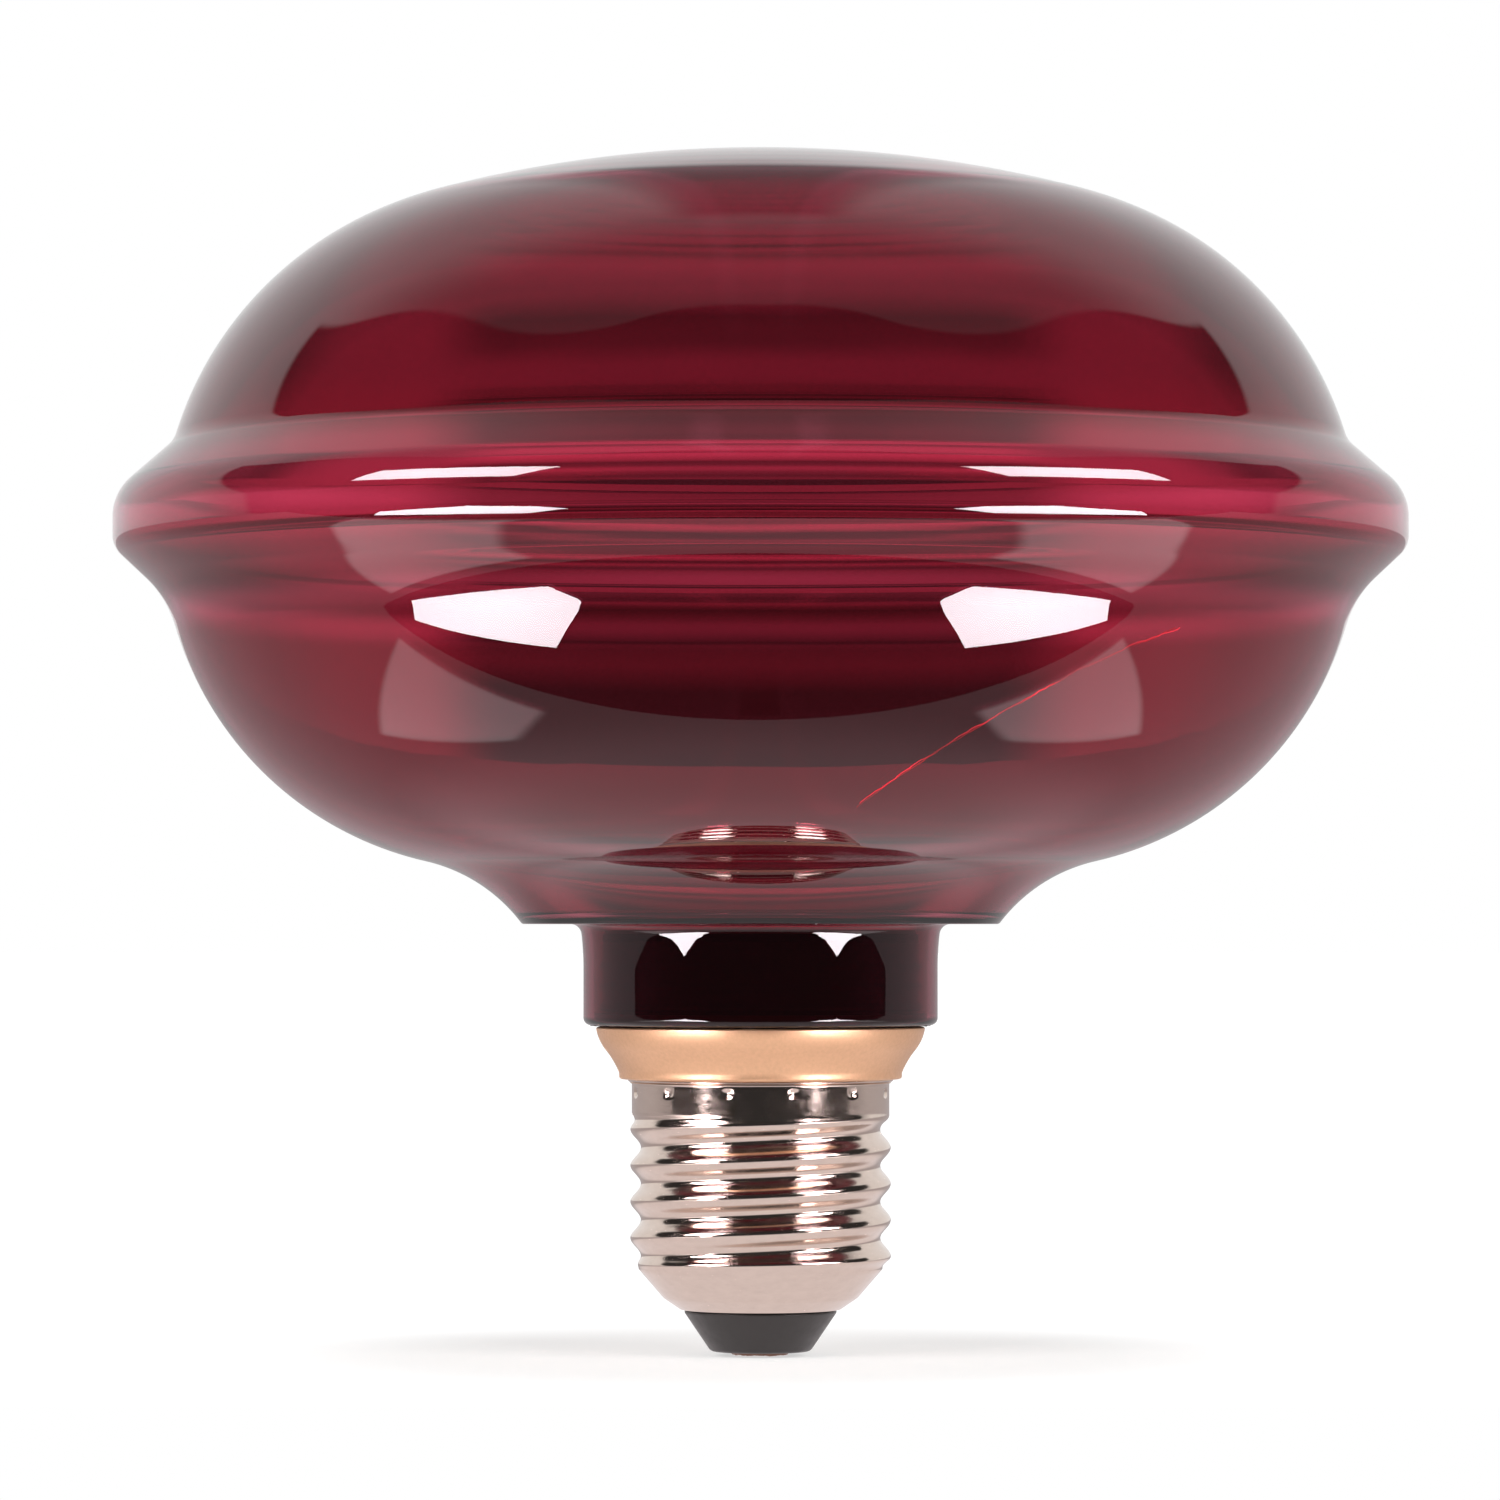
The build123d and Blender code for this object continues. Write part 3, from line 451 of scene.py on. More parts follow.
def surface_finish(
    name, colour, shade=0.85, metallic=0.0, roughness=0.4, rough_spread=0.08, grain=1.0, bump=0.2,
    depth=0.02, stretch=(1.0, 1.0, 1.0),
):
    """Opaque finish: a colour and its darker shade, roughness and relief that vary with a grain in millimetres."""
    material, put = new_material(name)
    darker = (*(channel * shade for channel in colour[:3]), 1.0)
    mapping = put("Mapping", {"Vector": put("TexCoord").outputs["Object"], "Scale": stretch})
    noise = put("TexNoise", {"Vector": mapping, "Scale": 1.0 / (grain * MM), "Detail": 4.0, "Roughness": 0.6})
    tint = put("Mix", {"Factor": noise, "A": tuple(colour), "B": darker}, data_type="RGBA")
    rough = put("MapRange", (noise, 0.3, 0.7, roughness - rough_spread, roughness + rough_spread))
    relief = put("Bump", {"Strength": bump, "Distance": depth * MM, "Height": noise})
    shader = put(
        "BsdfPrincipled", {"Base Color": tint, "Metallic": metallic, "Roughness": rough, "Normal": relief}
    )
    put("OutputMaterial", {"Surface": shader})
    return material


# ---------------------------------------------------------------- pieces


def glass_outline():
    """Outside of the glass from the crown to the neck's end, as (radius, height) in millimetres."""
    s = bpy.context.scene.lamp_glass
    runs = (
        (s.crown_radius, -s.crown_sweep), (s.shoulder_radius, -s.shoulder_sweep), (s.crease_radius, s.crease_sweep),
        (None, s.slope), (s.rim_radius, -s.rim_sweep), (None, s.rim_face), (s.rim_edge_radius, -s.rim_edge_sweep),
        (None, s.under_slope), (s.fillet_radius, s.fillet_sweep), (s.bowl_radius, -s.bowl_sweep),
        (s.flare_radius, s.flare_sweep),
    )
    chain = arc_chain((0.0, s.height), 0.0, runs, step=1.6)
    edge = chain[-1]
    # Flat shelf from the flare's edge to the neck, which narrows downwards to its straight part
    shelf_end, swell_start, swell_length = s.neck_radius + s.neck_swell, 1.3, 4.4
    tail = rounded(
        [(*chain[-2], 0), (*edge, s.flare_edge_round), (shelf_end, edge[1], s.neck_fillet),
         (s.neck_radius + s.neck_swell * 0.5, edge[1] - swell_start, 0)],
        step=9.0,
    )
    for share in np.linspace(0.35, 1.0, 8):
        tail.append((s.neck_radius + s.neck_swell * (1 - share) ** 2, edge[1] - swell_length * share))
    tail.append((s.neck_radius, s.neck_bottom))
    return spread(chain[:-2] + tail, 1.2)


def inside_of(outline, wall):
    """Inner face of a wall of even thickness under an outline, with the crossings left out."""
    outer = np.array(outline)
    steps = np.gradient(outer, axis=0)
    steps /= np.linalg.norm(steps, axis=1)[:, None]
    normals = np.stack((-steps[:, 1], steps[:, 0]), axis=1)
    normals[0] = (0.0, 1.0)
    inner = outer - wall * normals
    starts, ends = outer[:-1], outer[1:]
    runs = ends - starts
    keep = []
    for point in inner:
        share = np.clip(((point - starts) * runs).sum(1) / (runs * runs).sum(1), 0, 1)
        gap = np.linalg.norm(point - (starts + share[:, None] * runs), axis=1).min()
        # Nearer than this, it lies past a crossing
        if gap > 0.993 * wall:
            keep.append(tuple(point))
    keep[0] = (0.0, outline[0][1] - wall)
    keep[-1] = (outline[-1][0] - wall, outline[-1][1])
    return keep


class LAMP_OT_glass(bpy.types.Operator):
    """Blows the envelope: crown, rolled rim, bowl, flare and neck in one wall"""

    bl_idname = "lamp.glass"
    bl_label = "Glass envelope"

    def execute(self, context):
        s = context.scene.lamp_glass
        outer = glass_outline()
        inner = inside_of(outer, s.wall)
        lip = rounded(
            [(*outer[-2], 0), (s.neck_radius, s.neck_bottom, 0.75),
             (s.neck_radius - s.wall, s.neck_bottom, 0.2), (*inner[-2], 0)]
        )
        outline = outer[:-2] + lip + inner[:-2][::-1]
        piece = turned("blown_envelope", outline, s.segments)
        seat(piece, ruby_glass(), "ruby_glass", "glass_envelope")
        return {"FINISHED"}


class LAMP_OT_collar(bpy.types.Operator):
    """Turns the painted collar ring"""

    bl_idname = "lamp.collar"
    bl_label = "Collar ring"

    def execute(self, context):
        s = context.scene.lamp_trim
        # Degrees: the side's slope at the top, then the turns of its two arcs
        slope, curl, hollow = -97.0, -32.0, 17.0
        runs = ((s.collar_curl, curl), (s.collar_sweep, hollow))
        chain = arc_chain((s.collar_radius, s.collar_top), slope, runs)
        foot = chain[-1][0]
        edge = rounded([(s.collar_mouth, s.collar_top, 0), (s.collar_radius, s.collar_top, 0.25), (*chain[1], 0)])
        base = rounded([(*chain[-1], 0), (foot, s.collar_bottom, 0.3), (s.collar_seat, s.collar_bottom, 0)])
        # Metallic gold lacquer sprayed on metal: fine flakes glint, and the film is satin and even.
        gold = surface_finish(
            "gold_lacquer", context.scene.lamp_colours.gold, shade=0.8, metallic=0.6, roughness=0.36,
            grain=0.35, bump=0.35,
        )
        piece = turned("painted_collar", edge[:-1] + chain[1:-1] + base, 192, closed=True)
        seat(piece, gold, "gold_paint", "collar_ring")
        return {"FINISHED"}


def displace(piece, name, values, offset_of):
    """Moves a piece's points by the offset that Geometry Nodes work out, and keeps the result as a plain mesh."""
    tree = bpy.data.node_groups.new(name, "GeometryNodeTree")
    tree.interface.new_socket("Geometry", in_out="INPUT", socket_type="NodeSocketGeometry")
    for label in values:
        kind = "NodeSocketMaterial" if label == "Material" else "NodeSocketFloat"
        tree.interface.new_socket(label, in_out="INPUT", socket_type=kind)
    tree.interface.new_socket("Geometry", in_out="OUTPUT", socket_type="NodeSocketGeometry")
    put = partial(add, tree)
    given = put("NodeGroupInput").outputs
    moved = put("GeometryNodeSetPosition", {"Geometry": given["Geometry"], "Offset": offset_of(put, given)})
    real = put("GeometryNodeRealizeInstances", {"Geometry": moved})
    painted = put("GeometryNodeSetMaterial", {"Geometry": real, "Material": given["Material"]})
    put("NodeGroupOutput", {"Geometry": painted})
    modifier = piece.modifiers.new("nodes", "NODES")
    modifier.node_group = tree
    for item in tree.interface.items_tree:
        if item.in_out == "INPUT" and item.name in values:
            modifier[item.identifier] = values[item.name]
    evaluated = piece.evaluated_get(bpy.context.evaluated_depsgraph_get())
    data = bpy.data.meshes.new_from_object(evaluated)
    piece.modifiers.remove(modifier)
    piece.data = data


def lumps(put, given):
    """Offset that presses uneven lumps into the part of a turned blank below its top."""
    place = put("GeometryNodeInputPosition")
    noise = put(
        "TexNoise",
        {"Vector": place, "W": given["Seed"], "Scale": put("Math DIVIDE", (1 / MM, given["Grain"])), "Detail": 2.0},
        noise_dimensions="4D",
    )
    height = put("Math DIVIDE", (put("SeparateXYZ", (place,)).outputs["Z"], MM))
    low = put("MapRange", (height, given["Top"], put("Math SUBTRACT", (given["Top"], given["Fade"]))))
    # Nearly all of the noise lies under this level, so the lumps only go inwards
    lump = put("Math MULTIPLY", (put("Math SUBTRACT", (noise, 0.85)), low))
    press = put("Math MULTIPLY", (lump, put("Math MULTIPLY", (given["Depth"], 2 * MM))))
    press = put("Math MINIMUM", (press, 0.0))
    return put("VectorMath SCALE", {0: put("GeometryNodeInputNormal"), "Scale": press})


class LAMP_OT_glue(bpy.types.Operator):
    """Lays the uneven bead of glue between the neck and the collar"""

    bl_idname = "lamp.glue"
    bl_label = "Glue bead"

    def execute(self, context):
        s = context.scene.lamp_trim
        glass = context.scene.lamp_glass
        outer = glass.neck_radius - glass.wall - 0.05
        outline = rounded(
            [(s.spigot_radius, s.glue_top, 0), (s.spigot_radius, s.collar_top, 0),
             (s.glue_radius, s.collar_top, 0.12), (s.glue_radius, s.collar_top + 0.3, 0.12),
             (outer, s.collar_top + 0.4, 0), (outer, s.glue_top, 0)]
        )
        # Brown two-part glue, pushed out of the neck and set with a satin skin.
        skin = surface_finish(
            "brown_glue", context.scene.lamp_colours.glue, shade=0.5, roughness=0.45, grain=0.5, bump=0.4
        )
        bead = turned("glue_bead", spread(outline, 0.12), 288, closed=True, sharp=60)
        values = {
            "Grain": 1.3, "Depth": s.glue_lump, "Top": s.collar_top + 0.5, "Fade": 0.1, "Seed": 4.0,
            "Material": skin,
        }
        displace(bead, "uneven_bead", values, lumps)
        seat(bead, skin, "cement", "glass_adhesive")
        return {"FINISHED"}


def thread(put, given):
    """Offset that rolls the thread into a turned blank and punches its row of dimples."""

    def root_of_squares(a, b):
        return put("Math SQRT", (put("Math ADD", (put("Math POWER", (a, 2.0)), put("Math POWER", (b, 2.0)))),))

    axes = put("SeparateXYZ", (put("GeometryNodeInputPosition"),)).outputs
    height = put("Math DIVIDE", (axes["Z"], MM))
    turns = put("Math DIVIDE", (put("Math SUBTRACT", (height, given["Crest height"])), given["Pitch"]))
    angle = put("Math MULTIPLY", (turns, 2 * math.pi))
    low_end = put("Math ADD", (given["Thread bottom"], given["Run-out"]))
    high_end = put("Math SUBTRACT", (given["Thread top"], given["Run-out"]))
    swing = faded(
        put, given["Swing"], (height, given["Thread bottom"], low_end), (height, given["Thread top"], high_end)
    )
    swing = put("Math MULTIPLY", (swing, MM))
    # Dimples: each is a round dish where its own angle and the row's height meet
    around = put("Math ARCTAN2", (axes["Y"], axes["X"]))
    sector = put("Math DIVIDE", (2 * math.pi, given["Dimples"]))
    off = put("Math FLOORED_MODULO", (around, sector))
    off = put("Math SUBTRACT", (off, put("Math DIVIDE", (sector, 2.0))))
    radius = put("Math DIVIDE", (root_of_squares(axes["X"], axes["Y"]), MM))
    aside = put("Math MULTIPLY", (off, radius))
    up = put("Math SUBTRACT", (height, given["Dimple height"]))
    far = put("Math DIVIDE", (root_of_squares(aside, up), given["Dimple radius"]))
    dish = put("Math MAXIMUM", (put("Math SUBTRACT", (1.0, put("Math POWER", (far, 2.0)))), 0.0))
    press = put("Math MULTIPLY", (put("Math MULTIPLY", (dish, given["Dimple depth"])), -MM))
    offset = []
    for wave in ("COSINE", "SINE"):
        rolled = put("Math MULTIPLY", (swing, put(f"Math {wave}", (angle,))))
        punched = put("Math MULTIPLY", (press, put(f"Math {wave}", (around,))))
        offset.append(put("Math ADD", (rolled, punched)))
    return put("CombineXYZ", offset)


class LAMP_OT_screw_shell(bpy.types.Operator):
    """Turns the shell's blank, rolls the knuckle thread into it and punches the dimples"""

    bl_idname = "lamp.screw_shell"
    bl_label = "Screw shell"

    def execute(self, context):
        s = context.scene.lamp_cap
        rim = context.scene.lamp_trim
        mean = (s.crest_radius + s.root_radius) / 2
        # Cone from the curled rim round the insulator up to the thread
        cone = rounded(
            [(rim.cone_radius - 0.15, rim.cone_top, 0), (rim.cone_radius + 0.2, rim.cone_top, 0.25),
             (9.75, 5.8, 1.5), (s.foot_radius, s.thread_bottom, 0)], step=6
        )
        wall = []
        for share in np.linspace(0, 1, 151):
            height = s.thread_bottom + (s.thread_top - s.thread_bottom) * share
            low = min(max((s.thread_bottom + s.run_out - height) / s.run_out, 0), 1)
            high = min(max((height - s.thread_top + s.run_out) / s.run_out, 0), 1)
            radius = mean + low * low * (3 - 2 * low) * (s.foot_radius - mean)
            radius += high * high * (3 - 2 * high) * (s.band_radius - mean)
            wall.append((radius, height))
        # Smooth band, and the lip that the collar stands on
        band = rounded(
            [(s.band_radius, s.thread_top, 0), (s.band_radius, s.lip_top - 0.4, 0.25),
             (s.lip_radius, s.lip_top - 0.2, 0.08), (s.lip_radius, s.lip_top, 0.08), (12.9, s.lip_top, 0)], step=10
        )
        outline = spread(cone, 0.5)[:-1] + wall + spread(band, 0.12)[1:]
        blank = turned("rolled_shell", outline, 288, sharp=50)
        # Nickel plate on rolled sheet: bright and sharp, slightly clouded, with warm brown darks.
        nickel = surface_finish(
            "nickel_plate", context.scene.lamp_colours.nickel, shade=0.85, metallic=1.0, roughness=0.13,
            rough_spread=0.05, grain=1.6, bump=0.12, depth=0.03, stretch=(1, 1, 2.5),
        )
        values = {
            "Pitch": s.pitch, "Swing": (s.crest_radius - s.root_radius) / 2, "Crest height": s.crest_height,
            "Thread bottom": s.thread_bottom, "Thread top": s.thread_top, "Run-out": s.run_out,
            "Dimples": float(s.punches), "Dimple height": s.punch_height, "Dimple depth": s.punch_depth,
            "Dimple radius": math.sqrt(2 * s.punch_radius * s.punch_depth), "Material": nickel,
        }
        displace(blank, "rolled_thread", values, thread)
        solid = blank.modifiers.new("sheet", "SOLIDIFY")
        solid.thickness = s.wall * MM
        seat(blank, nickel, "nickel_plate", "screw_shell")
        return {"FINISHED"}


class LAMP_OT_contact_end(bpy.types.Operator):
    """Turns the black insulator and the contact under it"""

    bl_idname = "lamp.contact_end"
    bl_label = "Insulator and contact"

    def execute(self, context):
        s = context.scene.lamp_trim
        colours = context.scene.lamp_colours
        inner_radius = s.cone_radius - 0.25
        insulator = rounded(
            [(s.shank_radius, s.plug_top, 0), (s.shank_radius, s.face_height, 0.05),
             (s.face_radius, s.face_height, 0.7), (s.cone_radius, s.cone_top, 0.25),
             (inner_radius, s.cone_top, 0.02), (inner_radius, s.cone_top + 0.9, 0.05),
             (s.plug_radius, s.plug_top - 0.75, 0.05), (s.plug_radius, s.plug_top, 0.05),
             (s.shank_radius + 0.05, s.plug_top, 0)], step=9
        )
        # Black thermoset, moulded: satin, with a faint warm bloom.
        plastic = surface_finish(
            "moulded_black_thermoset", colours.insulator, shade=0.8, roughness=0.4, grain=1.2, bump=0.15
        )
        plug = turned("moulded_insulator", insulator, 160, closed=True)
        seat(plug, plastic, "insulator_plastic", "shell_insulator")
        # Rivet head, shank through the insulator, flange over it, and the bore for the live lead
        flange = s.shank_radius + 0.6
        contact = rounded(
            [(0.0, 0.0, 0), (s.nub_radius, 0.0, 0.3), (s.nub_radius, s.face_height, 0),
             (s.shank_radius, s.face_height, 0), (s.shank_radius, s.plug_top, 0), (flange, s.plug_top, 0.1),
             (flange, s.shank_top, 0.1), (s.shank_bore, s.shank_top, 0.05), (s.shank_bore, s.face_height, 0.05),
             (0.0, s.face_height, 0)], step=12
        )
        # Solder over a brass contact, dulled brown and left in lumps where it was dabbed on.
        solder = surface_finish(
            "dulled_solder", colours.solder, shade=0.6, metallic=1.0, roughness=0.4, rough_spread=0.1, grain=0.8,
            bump=0.3,
        )
        nub = turned("solder_nub", spread(contact, 0.15), 160)
        values = {
            "Grain": 1.1, "Depth": s.nub_lump, "Top": s.face_height, "Fade": 0.1, "Seed": 7.0, "Material": solder
        }
        displace(nub, "uneven_bead", values, lumps)
        seat(nub, solder, "contact_metal", "centre_contact")
        return {"FINISHED"}


class LAMP_OT_spigot(bpy.types.Operator):
    """Turns the housing: the barrel in the cap and the ribbed spigot that fills the neck"""

    bl_idname = "lamp.spigot"
    bl_label = "Housing"

    def execute(self, context):
        s = context.scene.lamp_trim
        thread_top = context.scene.lamp_cap.thread_top
        inside = s.barrel_radius - s.barrel_wall
        wall = [
            (inside, s.barrel_bottom), (s.barrel_radius, s.barrel_bottom), (s.barrel_radius, thread_top - 0.6),
            (s.step_radius, thread_top + 0.4), (s.step_radius, s.collar_bottom), (s.collar_seat, s.collar_bottom),
            (s.spigot_radius, s.collar_top + 0.2),
        ]
        rib = s.rib_radius
        for index in range(s.ribs):
            height = s.rib_height + s.rib_step * index
            for angle in np.radians(np.arange(-90, 91, 15)):
                wall.append((s.spigot_radius + rib * math.cos(angle), height + rib * math.sin(angle)))
        bore = s.spigot_radius - s.spigot_wall
        wall += [
            (s.spigot_radius, s.spigot_top), (bore, s.spigot_top), (bore, s.collar_top - 0.4),
            (inside, s.funnel_height),
        ]
        # Black flame-proof plastic, moulded with a polished face: glossy ribs that glint.
        plastic = surface_finish(
            "moulded_black_housing", context.scene.lamp_colours.housing, shade=0.7, roughness=0.14,
            rough_spread=0.04, grain=1.5, bump=0.2, depth=0.04, stretch=(0.2, 0.2, 4.0),
        )
        housing = turned("ribbed_housing", wall, 192, closed=True, sharp=30)
        seat(housing, plastic, "housing_plastic", "driver_housing")
        return {"FINISHED"}


class LAMP_OT_inner_parts(bpy.types.Operator):
    """Gives the light engine, the driver and the leads their finishes"""

    bl_idname = "lamp.inner_parts"
    bl_label = "Inner parts"

    def execute(self, context):
        # Finish, colour, metallic, roughness, grain in millimetres, and the stretch of a grain that has one
        finishes = {
            # Painted shade: the cup's near-black and the diffuser's grey are darkened for the dim light inside the
            # glass
            "heat_sink_cup": ("black_anodised_aluminium", "#171516", 0.6, 0.35, 0.6),
            "led_board": ("white_solder_mask", "#e6e5de", 0.0, 0.35, 1.0),
            "led_chips": ("yellow_phosphor", "#e8cf5a", 0.0, 0.5, 0.4),
            "led_board_screws": ("zinc_steel", "#b5b3ae", 1.0, 0.3, 0.5),
            "diffuser_cap": ("smoky_plastic", "#5a5350", 0.0, 0.45, 3.0),
            "driver_board": ("green_laminate", "#2c5a3a", 0.0, 0.35, 0.8),
            "electrolytic_capacitor": ("vinyl_sleeve", "#1f2733", 0.0, 0.3, 1.5),
            "choke_core": ("pressed_ferrite", "#3a3836", 0.0, 0.6, 0.3),
            "choke_winding": ("enamelled_copper", "#a5562c", 0.8, 0.3, 0.3, (1, 1, 12)),
            "film_capacitor": ("dipped_epoxy", "#a8382a", 0.0, 0.3, 1.5),
            "bridge_rectifier": ("moulded_resin", "#1c1c1d", 0.0, 0.5, 0.3),
            "driver_ic": ("moulded_chip_resin", "#1a1a1b", 0.0, 0.5, 0.3),
            "fusible_resistor": ("resistor_lacquer", "#6f8f7a", 0.0, 0.4, 0.6),
            "live_lead": ("red_vinyl", "#a3211f", 0.0, 0.4, 1.0),
            "neutral_lead": ("tinned_copper", "#b7b2aa", 1.0, 0.3, 0.5),
            "led_lead_positive": ("red_lead_vinyl", "#a3211f", 0.0, 0.4, 1.0),
            "led_lead_negative": ("black_lead_vinyl", "#1b1a1a", 0.0, 0.4, 1.0),
        }
        for node, (name, code, metallic, roughness, grain, *stretch) in finishes.items():
            material = surface_finish(
                name, linear(code), metallic=metallic, roughness=roughness, grain=grain,
                stretch=stretch[0] if stretch else (1.0, 1.0, 1.0),
            )
            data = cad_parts[node].data
            data.materials.clear()
            data.materials.append(material)
        return {"FINISHED"}


class LAMP_OT_stage(bpy.types.Operator):
    """Sets the camera, the table, the softboxes and the studio round them"""

    bl_idname = "lamp.stage"
    bl_label = "Stage"

    def execute(self, context):
        s = context.scene.lamp_stage
        scene = context.scene
        camera = bpy.data.objects.new("camera", bpy.data.cameras.new("camera"))
        camera.data.lens = s.lens
        camera.data.sensor_width = 36.0
        camera.data.clip_start = 0.01
        camera.location = (s.camera_side, -s.camera_distance, s.camera_height)
        camera.rotation_euler = (math.radians(90 + s.camera_pitch), 0, 0)
        scene.collection.objects.link(camera)
        scene.camera = camera
        scene.view_settings.view_transform = "Standard"
        for side, end in ((-1, "left"), (1, "right")):
            for name, rise, tall in AREA_LAMPS:
                self.lamp(s, f"{name}_lamp_{end}", side * s.softbox_turn, rise, tall)
            self.card(s, f"low_softbox_{end}", side, LOW_SOFTBOX, s.low_level)
            self.card(s, f"high_softbox_{end}", side, HIGH_SOFTBOX, s.high_level)
        self.table(s)
        self.studio(scene)
        return {"FINISHED"}

    def lamp(self, s, name, turn, rise, tall):
        """Rectangular area lamp aimed at the glass; its width and height are degrees, as seen from the lamp."""
        light = bpy.data.lights.new(name, "AREA")
        light.shape = "RECTANGLE"
        light.size = 2 * s.softbox_distance * math.tan(math.radians(s.softbox_width / 2))
        light.size_y = 2 * s.softbox_distance * math.tan(math.radians(tall / 2))
        light.energy = s.lamp_level * math.pi * light.size * light.size_y
        box = bpy.data.objects.new(name, light)
        aim = direction(turn, rise)
        box.location = LOOK_AT + s.softbox_distance * aim
        box.rotation_euler = aim.to_track_quat("Z", "Y").to_euler()
        box.visible_camera = False
        box.visible_glossy = False
        box.visible_transmission = False
        bpy.context.scene.collection.objects.link(box)

    def card(self, s, name, side, corners, level):
        """Softbox as mirrors see it, through (turn, rise) corners in degrees; brightest in its middle."""
        # Where it starts and stops to fade, in metres from its middle, and what it keeps at the edge
        fade_start, fade_end, edge_share = 0.1, 0.4, 0.75
        white_cloth = 1.5
        places = [LOOK_AT + s.softbox_distance * direction(side * turn, rise) for turn, rise in corners]
        mesh = bmesh.new()
        mesh.faces.new([mesh.verts.new(place) for place in places])
        bmesh.ops.triangulate(mesh, faces=mesh.faces)
        card = finish_mesh(name, mesh)
        material, put = new_material(f"{name}_fabric")
        middle = sum(places, Vector()) / len(places)
        away = put("VectorMath DISTANCE", (put("TexCoord").outputs["Object"], middle))
        fall = put("MapRange", (away, fade_start, fade_end, level, level * edge_share))
        # Seen straight through the glass, from behind, it is no brighter than white cloth
        through = put("LightPath").outputs["Is Transmission Ray"]
        shown = put("Mix", {"Factor": through, "A": fall, "B": white_cloth}, data_type="FLOAT")
        glow = put("Emission", {"Color": linear("#fff4fa"), "Strength": shown})
        put("OutputMaterial", {"Surface": glow})
        material.cycles.emission_sampling = "NONE"
        card.data.materials.append(material)
        for ray in ("camera", "diffuse", "shadow", "volume_scatter"):
            setattr(card, f"visible_{ray}", False)

    def table(self, s):
        """Pale table top: white to the camera, with the lamp's shadow kept in it near the cap."""
        half_width, depth = 6.0, 9.0
        mesh = bmesh.new()
        front = [(x, s.table_front + s.table_skew * x, 0) for x in (-half_width, half_width)]
        back = ((half_width, depth, 0), (-half_width, depth, 0))
        mesh.faces.new([mesh.verts.new(corner) for corner in (*front, *back)])
        table = finish_mesh("table", mesh)
        material, put = new_material("white_laminate")
        rays = put("LightPath").outputs
        place = put("TexCoord").outputs["Object"]
        axes = put("SeparateXYZ", (place,)).outputs
        reach = put("VectorMath LENGTH", (place,))
        matt = put("BsdfDiffuse", {"Color": linear("#f4f2f0")})
        white = put("Emission", {"Color": (1, 1, 1, 1), "Strength": 1.15})
        # The ranges' lengths are metres
        glow = faded(put, rays["Is Camera Ray"], (reach, 0.03, 0.07, s.table_glow, 1.0))
        seen = put("MixShader", (glow, matt, white))
        # As mirrors see it: bright under the lamp, half as bright farther out, with a pool of light at each side
        side = put("Math ABSOLUTE", (axes["X"],))
        pool = faded(
            put, 1.5, (side, 0.055, 0.060, 0.0, 1.0), (axes["Y"], -0.063, -0.060, 0.0, 1.0),
            (put("Math ADD", (side, axes["Y"])), 0.088, 0.095, 1.0, 0.0),
            (put("Math SUBTRACT", (side, axes["Y"])), 0.097, 0.101, 0.0, 1.0),
        )
        level = put("Math ADD", (put("MapRange", (reach, 0.04, 0.085, 0.9, 0.5), **SMOOTH), pool))
        # Seen through the glass, the table under the lamp is in the lamp's own shade
        shade = faded(put, rays["Is Transmission Ray"], (reach, 0.035, 0.06, 0.95, 0.0))
        level = put("Math MULTIPLY", (level, put("Math SUBTRACT", (1.0, shade))))
        mirrored = put("Emission", {"Color": linear("#fbf4f6"), "Strength": level})
        shown = put("MixShader", (rays["Is Glossy Ray"], seen, mirrored))
        put("OutputMaterial", {"Surface": shown})
        material.cycles.emission_sampling = "NONE"
        table.data.materials.append(material)

    def studio(self, scene):
        """World: white to the camera, soft light for dull surfaces, a dark room in front for reflections."""
        world = bpy.data.worlds.new("studio")
        scene.world = world
        world.use_nodes = True
        world.node_tree.nodes.clear()
        put = partial(add, world.node_tree)
        rays = put("LightPath").outputs
        look = put("SeparateXYZ", (put("TexCoord").outputs["Generated"],)).outputs
        out = put("Math ABSOLUTE", (look["X"],))
        behind = self.seen_through(put, look, out)
        seen = (0.35, 0.35, 0.35, 1)
        for ray, view in (
            ("Is Glossy Ray", self.room(put, look, out, scene.lamp_stage.room_level)),
            ("Is Transmission Ray", behind), ("Is Camera Ray", (1, 1, 1, 1)),
        ):
            seen = put("Mix", {"Factor": rays[ray], "A": seen, "B": view}, data_type="RGBA")
        put("OutputWorld", {"Surface": put("Background", {"Color": seen})})

    def room(self, put, look, out, dark_level):
        """Grey that mirrors see: a dark room in front, under a pale canopy and between bright walls behind."""
        ahead = put("Math MULTIPLY", (look["Y"], -1.0))
        rise = put("Math MULTIPLY", (put("Math ARCSINE", (look["Z"],)), DEGREES))
        turn = put("Math MULTIPLY", (put("Math ARCTAN2", (out, ahead)), DEGREES))
        # The dark room ends 98 degrees round, and farther round the higher one looks
        side_end = put("Math MULTIPLY_ADD", (put("Math MAXIMUM", (rise, 0.0)), 0.85, 98.0))
        side = put("Math SUBTRACT", (turn, side_end))
        canopy = set_points(put("FloatCurve", {"Value": put("Math DIVIDE", (turn, 180.0))}), CANOPY_EDGE)
        over = put("Math SUBTRACT", (rise, put("Math MULTIPLY", (canopy, 90.0))))
        dark = faded(put, 1.0, (side, -1.5, 1.5, 1.0, 0.0), (over, -1.0, 1.0, 1.0, 0.0))
        # Painted shade: the dark shape that the crown shows, a reflected contact shadow; it hangs above and behind
        # the lamp
        high = (look["Z"], 0.35, 0.5, 0.0, 1.0)
        shape = faded(put, 0.75, (out, 0.07, 0.15, 1.0, 0.0), (ahead, -0.40, -0.28, 1.0, 0.0), high)
        walls = put("Math SUBTRACT", (1.0, shape))
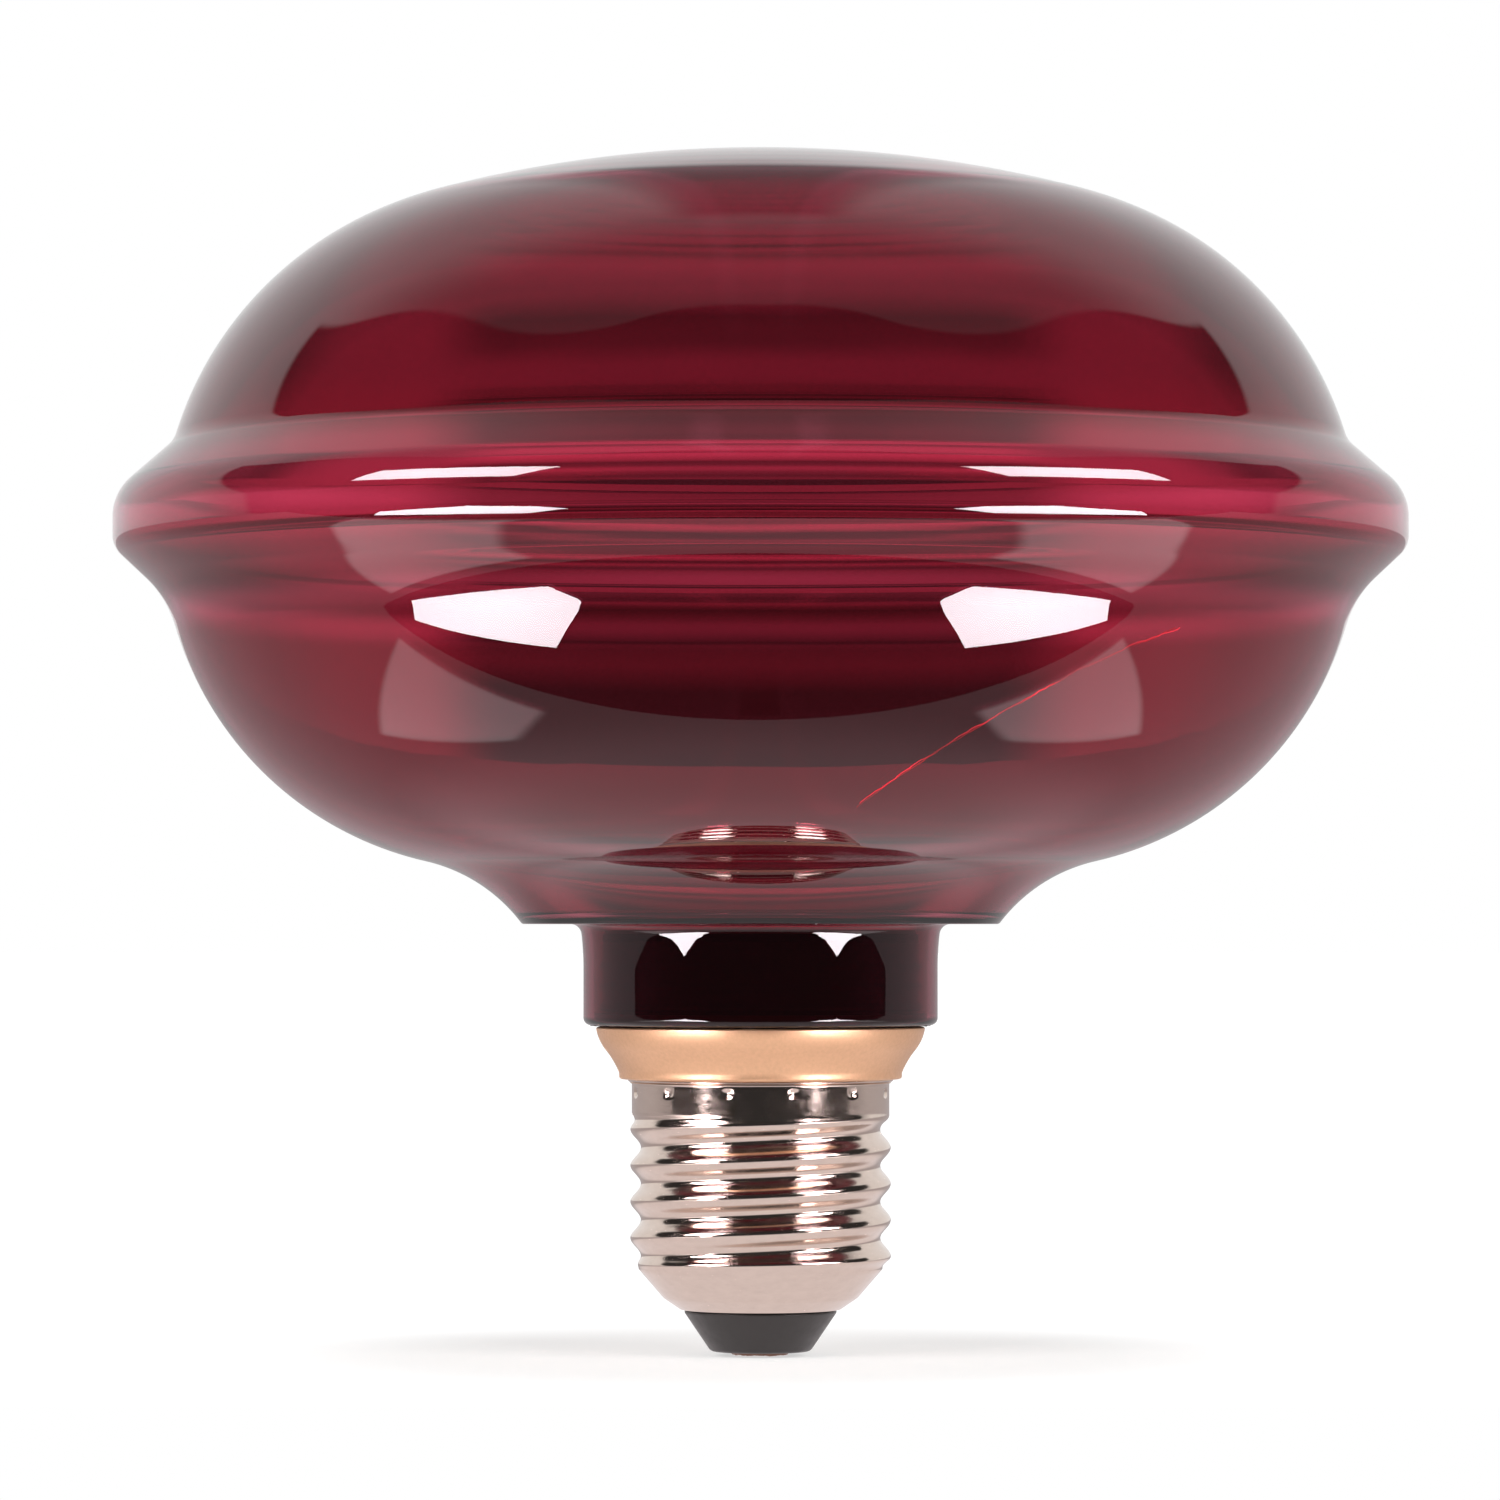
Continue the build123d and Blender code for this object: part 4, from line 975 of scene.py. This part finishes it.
        # The walls behind are bright; the canopy is dimmer where it starts
        walls = faded(put, walls, (look["Z"], 0.45, 0.75, 0.9, 0.75), (ahead, -0.5, -0.08, 1.0, 0.33))
        level = put("Mix", {"Factor": dark, "A": walls, "B": dark_level}, data_type="FLOAT")
        return put("CombineColor", (level, level, level))

    def seen_through(self, put, look, out):
        """What the glass lets through: bands of painted light and shade behind, brighter sides, plain grey towards
        the front.
        """
        bands = [(sine / WALL_TOP, (level, level, level, 1)) for sine, level in BANDS_OF_LIGHT_AND_SHADE]
        # Painted light and shade: the bands stand for a lit table top behind and the lamp's own shadow on it
        wall = set_stops(put("ValToRGB", (put("Math DIVIDE", (look["Z"], WALL_TOP)),)), bands)
        # Out to the sides the backdrop is bright, and farther out it dims again
        far = put("MapRange", (look["Z"], 0.085, 0.11, 0.6, 0.25), **SMOOTH)
        dims = put("MapRange", (out, 0.075, 0.105, 0.0, 1.0), **SMOOTH)
        sides = put("Mix", {"Factor": dims, "A": 0.8, "B": far}, data_type="FLOAT")
        sides = put("CombineColor", (sides, sides, sides))
        aside = put("MapRange", (out, 0.042, 0.060, 0.0, 1.0), **SMOOTH)
        backdrop = put("Mix", {"Factor": aside, "A": wall, "B": sides}, data_type="RGBA")
        back = put("MapRange", (look["Y"], -0.7, 0.1, 0.0, 1.0), **SMOOTH)
        return put("Mix", {"Factor": back, "A": (0.3, 0.3, 0.3, 1), "B": backdrop}, data_type="RGBA")


class LAMP_PT_panel(bpy.types.Panel):
    """The lamp's steps in the sidebar"""

    bl_idname = "LAMP_PT_panel"
    bl_label = "Ruby glass lamp"
    bl_space_type = "VIEW_3D"
    bl_region_type = "UI"
    bl_category = "Lamp"

    def draw(self, context):
        for step in STEPS:
            self.layout.operator(step.bl_idname)


STEPS = (
    LAMP_OT_glass, LAMP_OT_collar, LAMP_OT_glue, LAMP_OT_screw_shell, LAMP_OT_contact_end, LAMP_OT_spigot,
    LAMP_OT_inner_parts, LAMP_OT_stage,
)
GROUPS = {
    "lamp_glass": LampGlassSizes, "lamp_cap": LampCapSizes, "lamp_trim": LampTrimSizes, "lamp_colours": LampColours,
    "lamp_stage": LampStageSettings,
}
CLASSES = (*GROUPS.values(), *STEPS, LAMP_PT_panel)


def register():
    for item in CLASSES:
        bpy.utils.register_class(item)
    for name, group in GROUPS.items():
        setattr(bpy.types.Scene, name, PointerProperty(type=group))


def unregister():
    for name in GROUPS:
        delattr(bpy.types.Scene, name)
    for item in reversed(CLASSES):
        bpy.utils.unregister_class(item)


def main():
    register()
    bpy.ops.lamp.glass()
    bpy.ops.lamp.collar()
    bpy.ops.lamp.glue()
    bpy.ops.lamp.screw_shell()
    bpy.ops.lamp.contact_end()
    bpy.ops.lamp.spigot()
    bpy.ops.lamp.inner_parts()
    bpy.ops.lamp.stage()


if __name__ == "__main__":
    main()
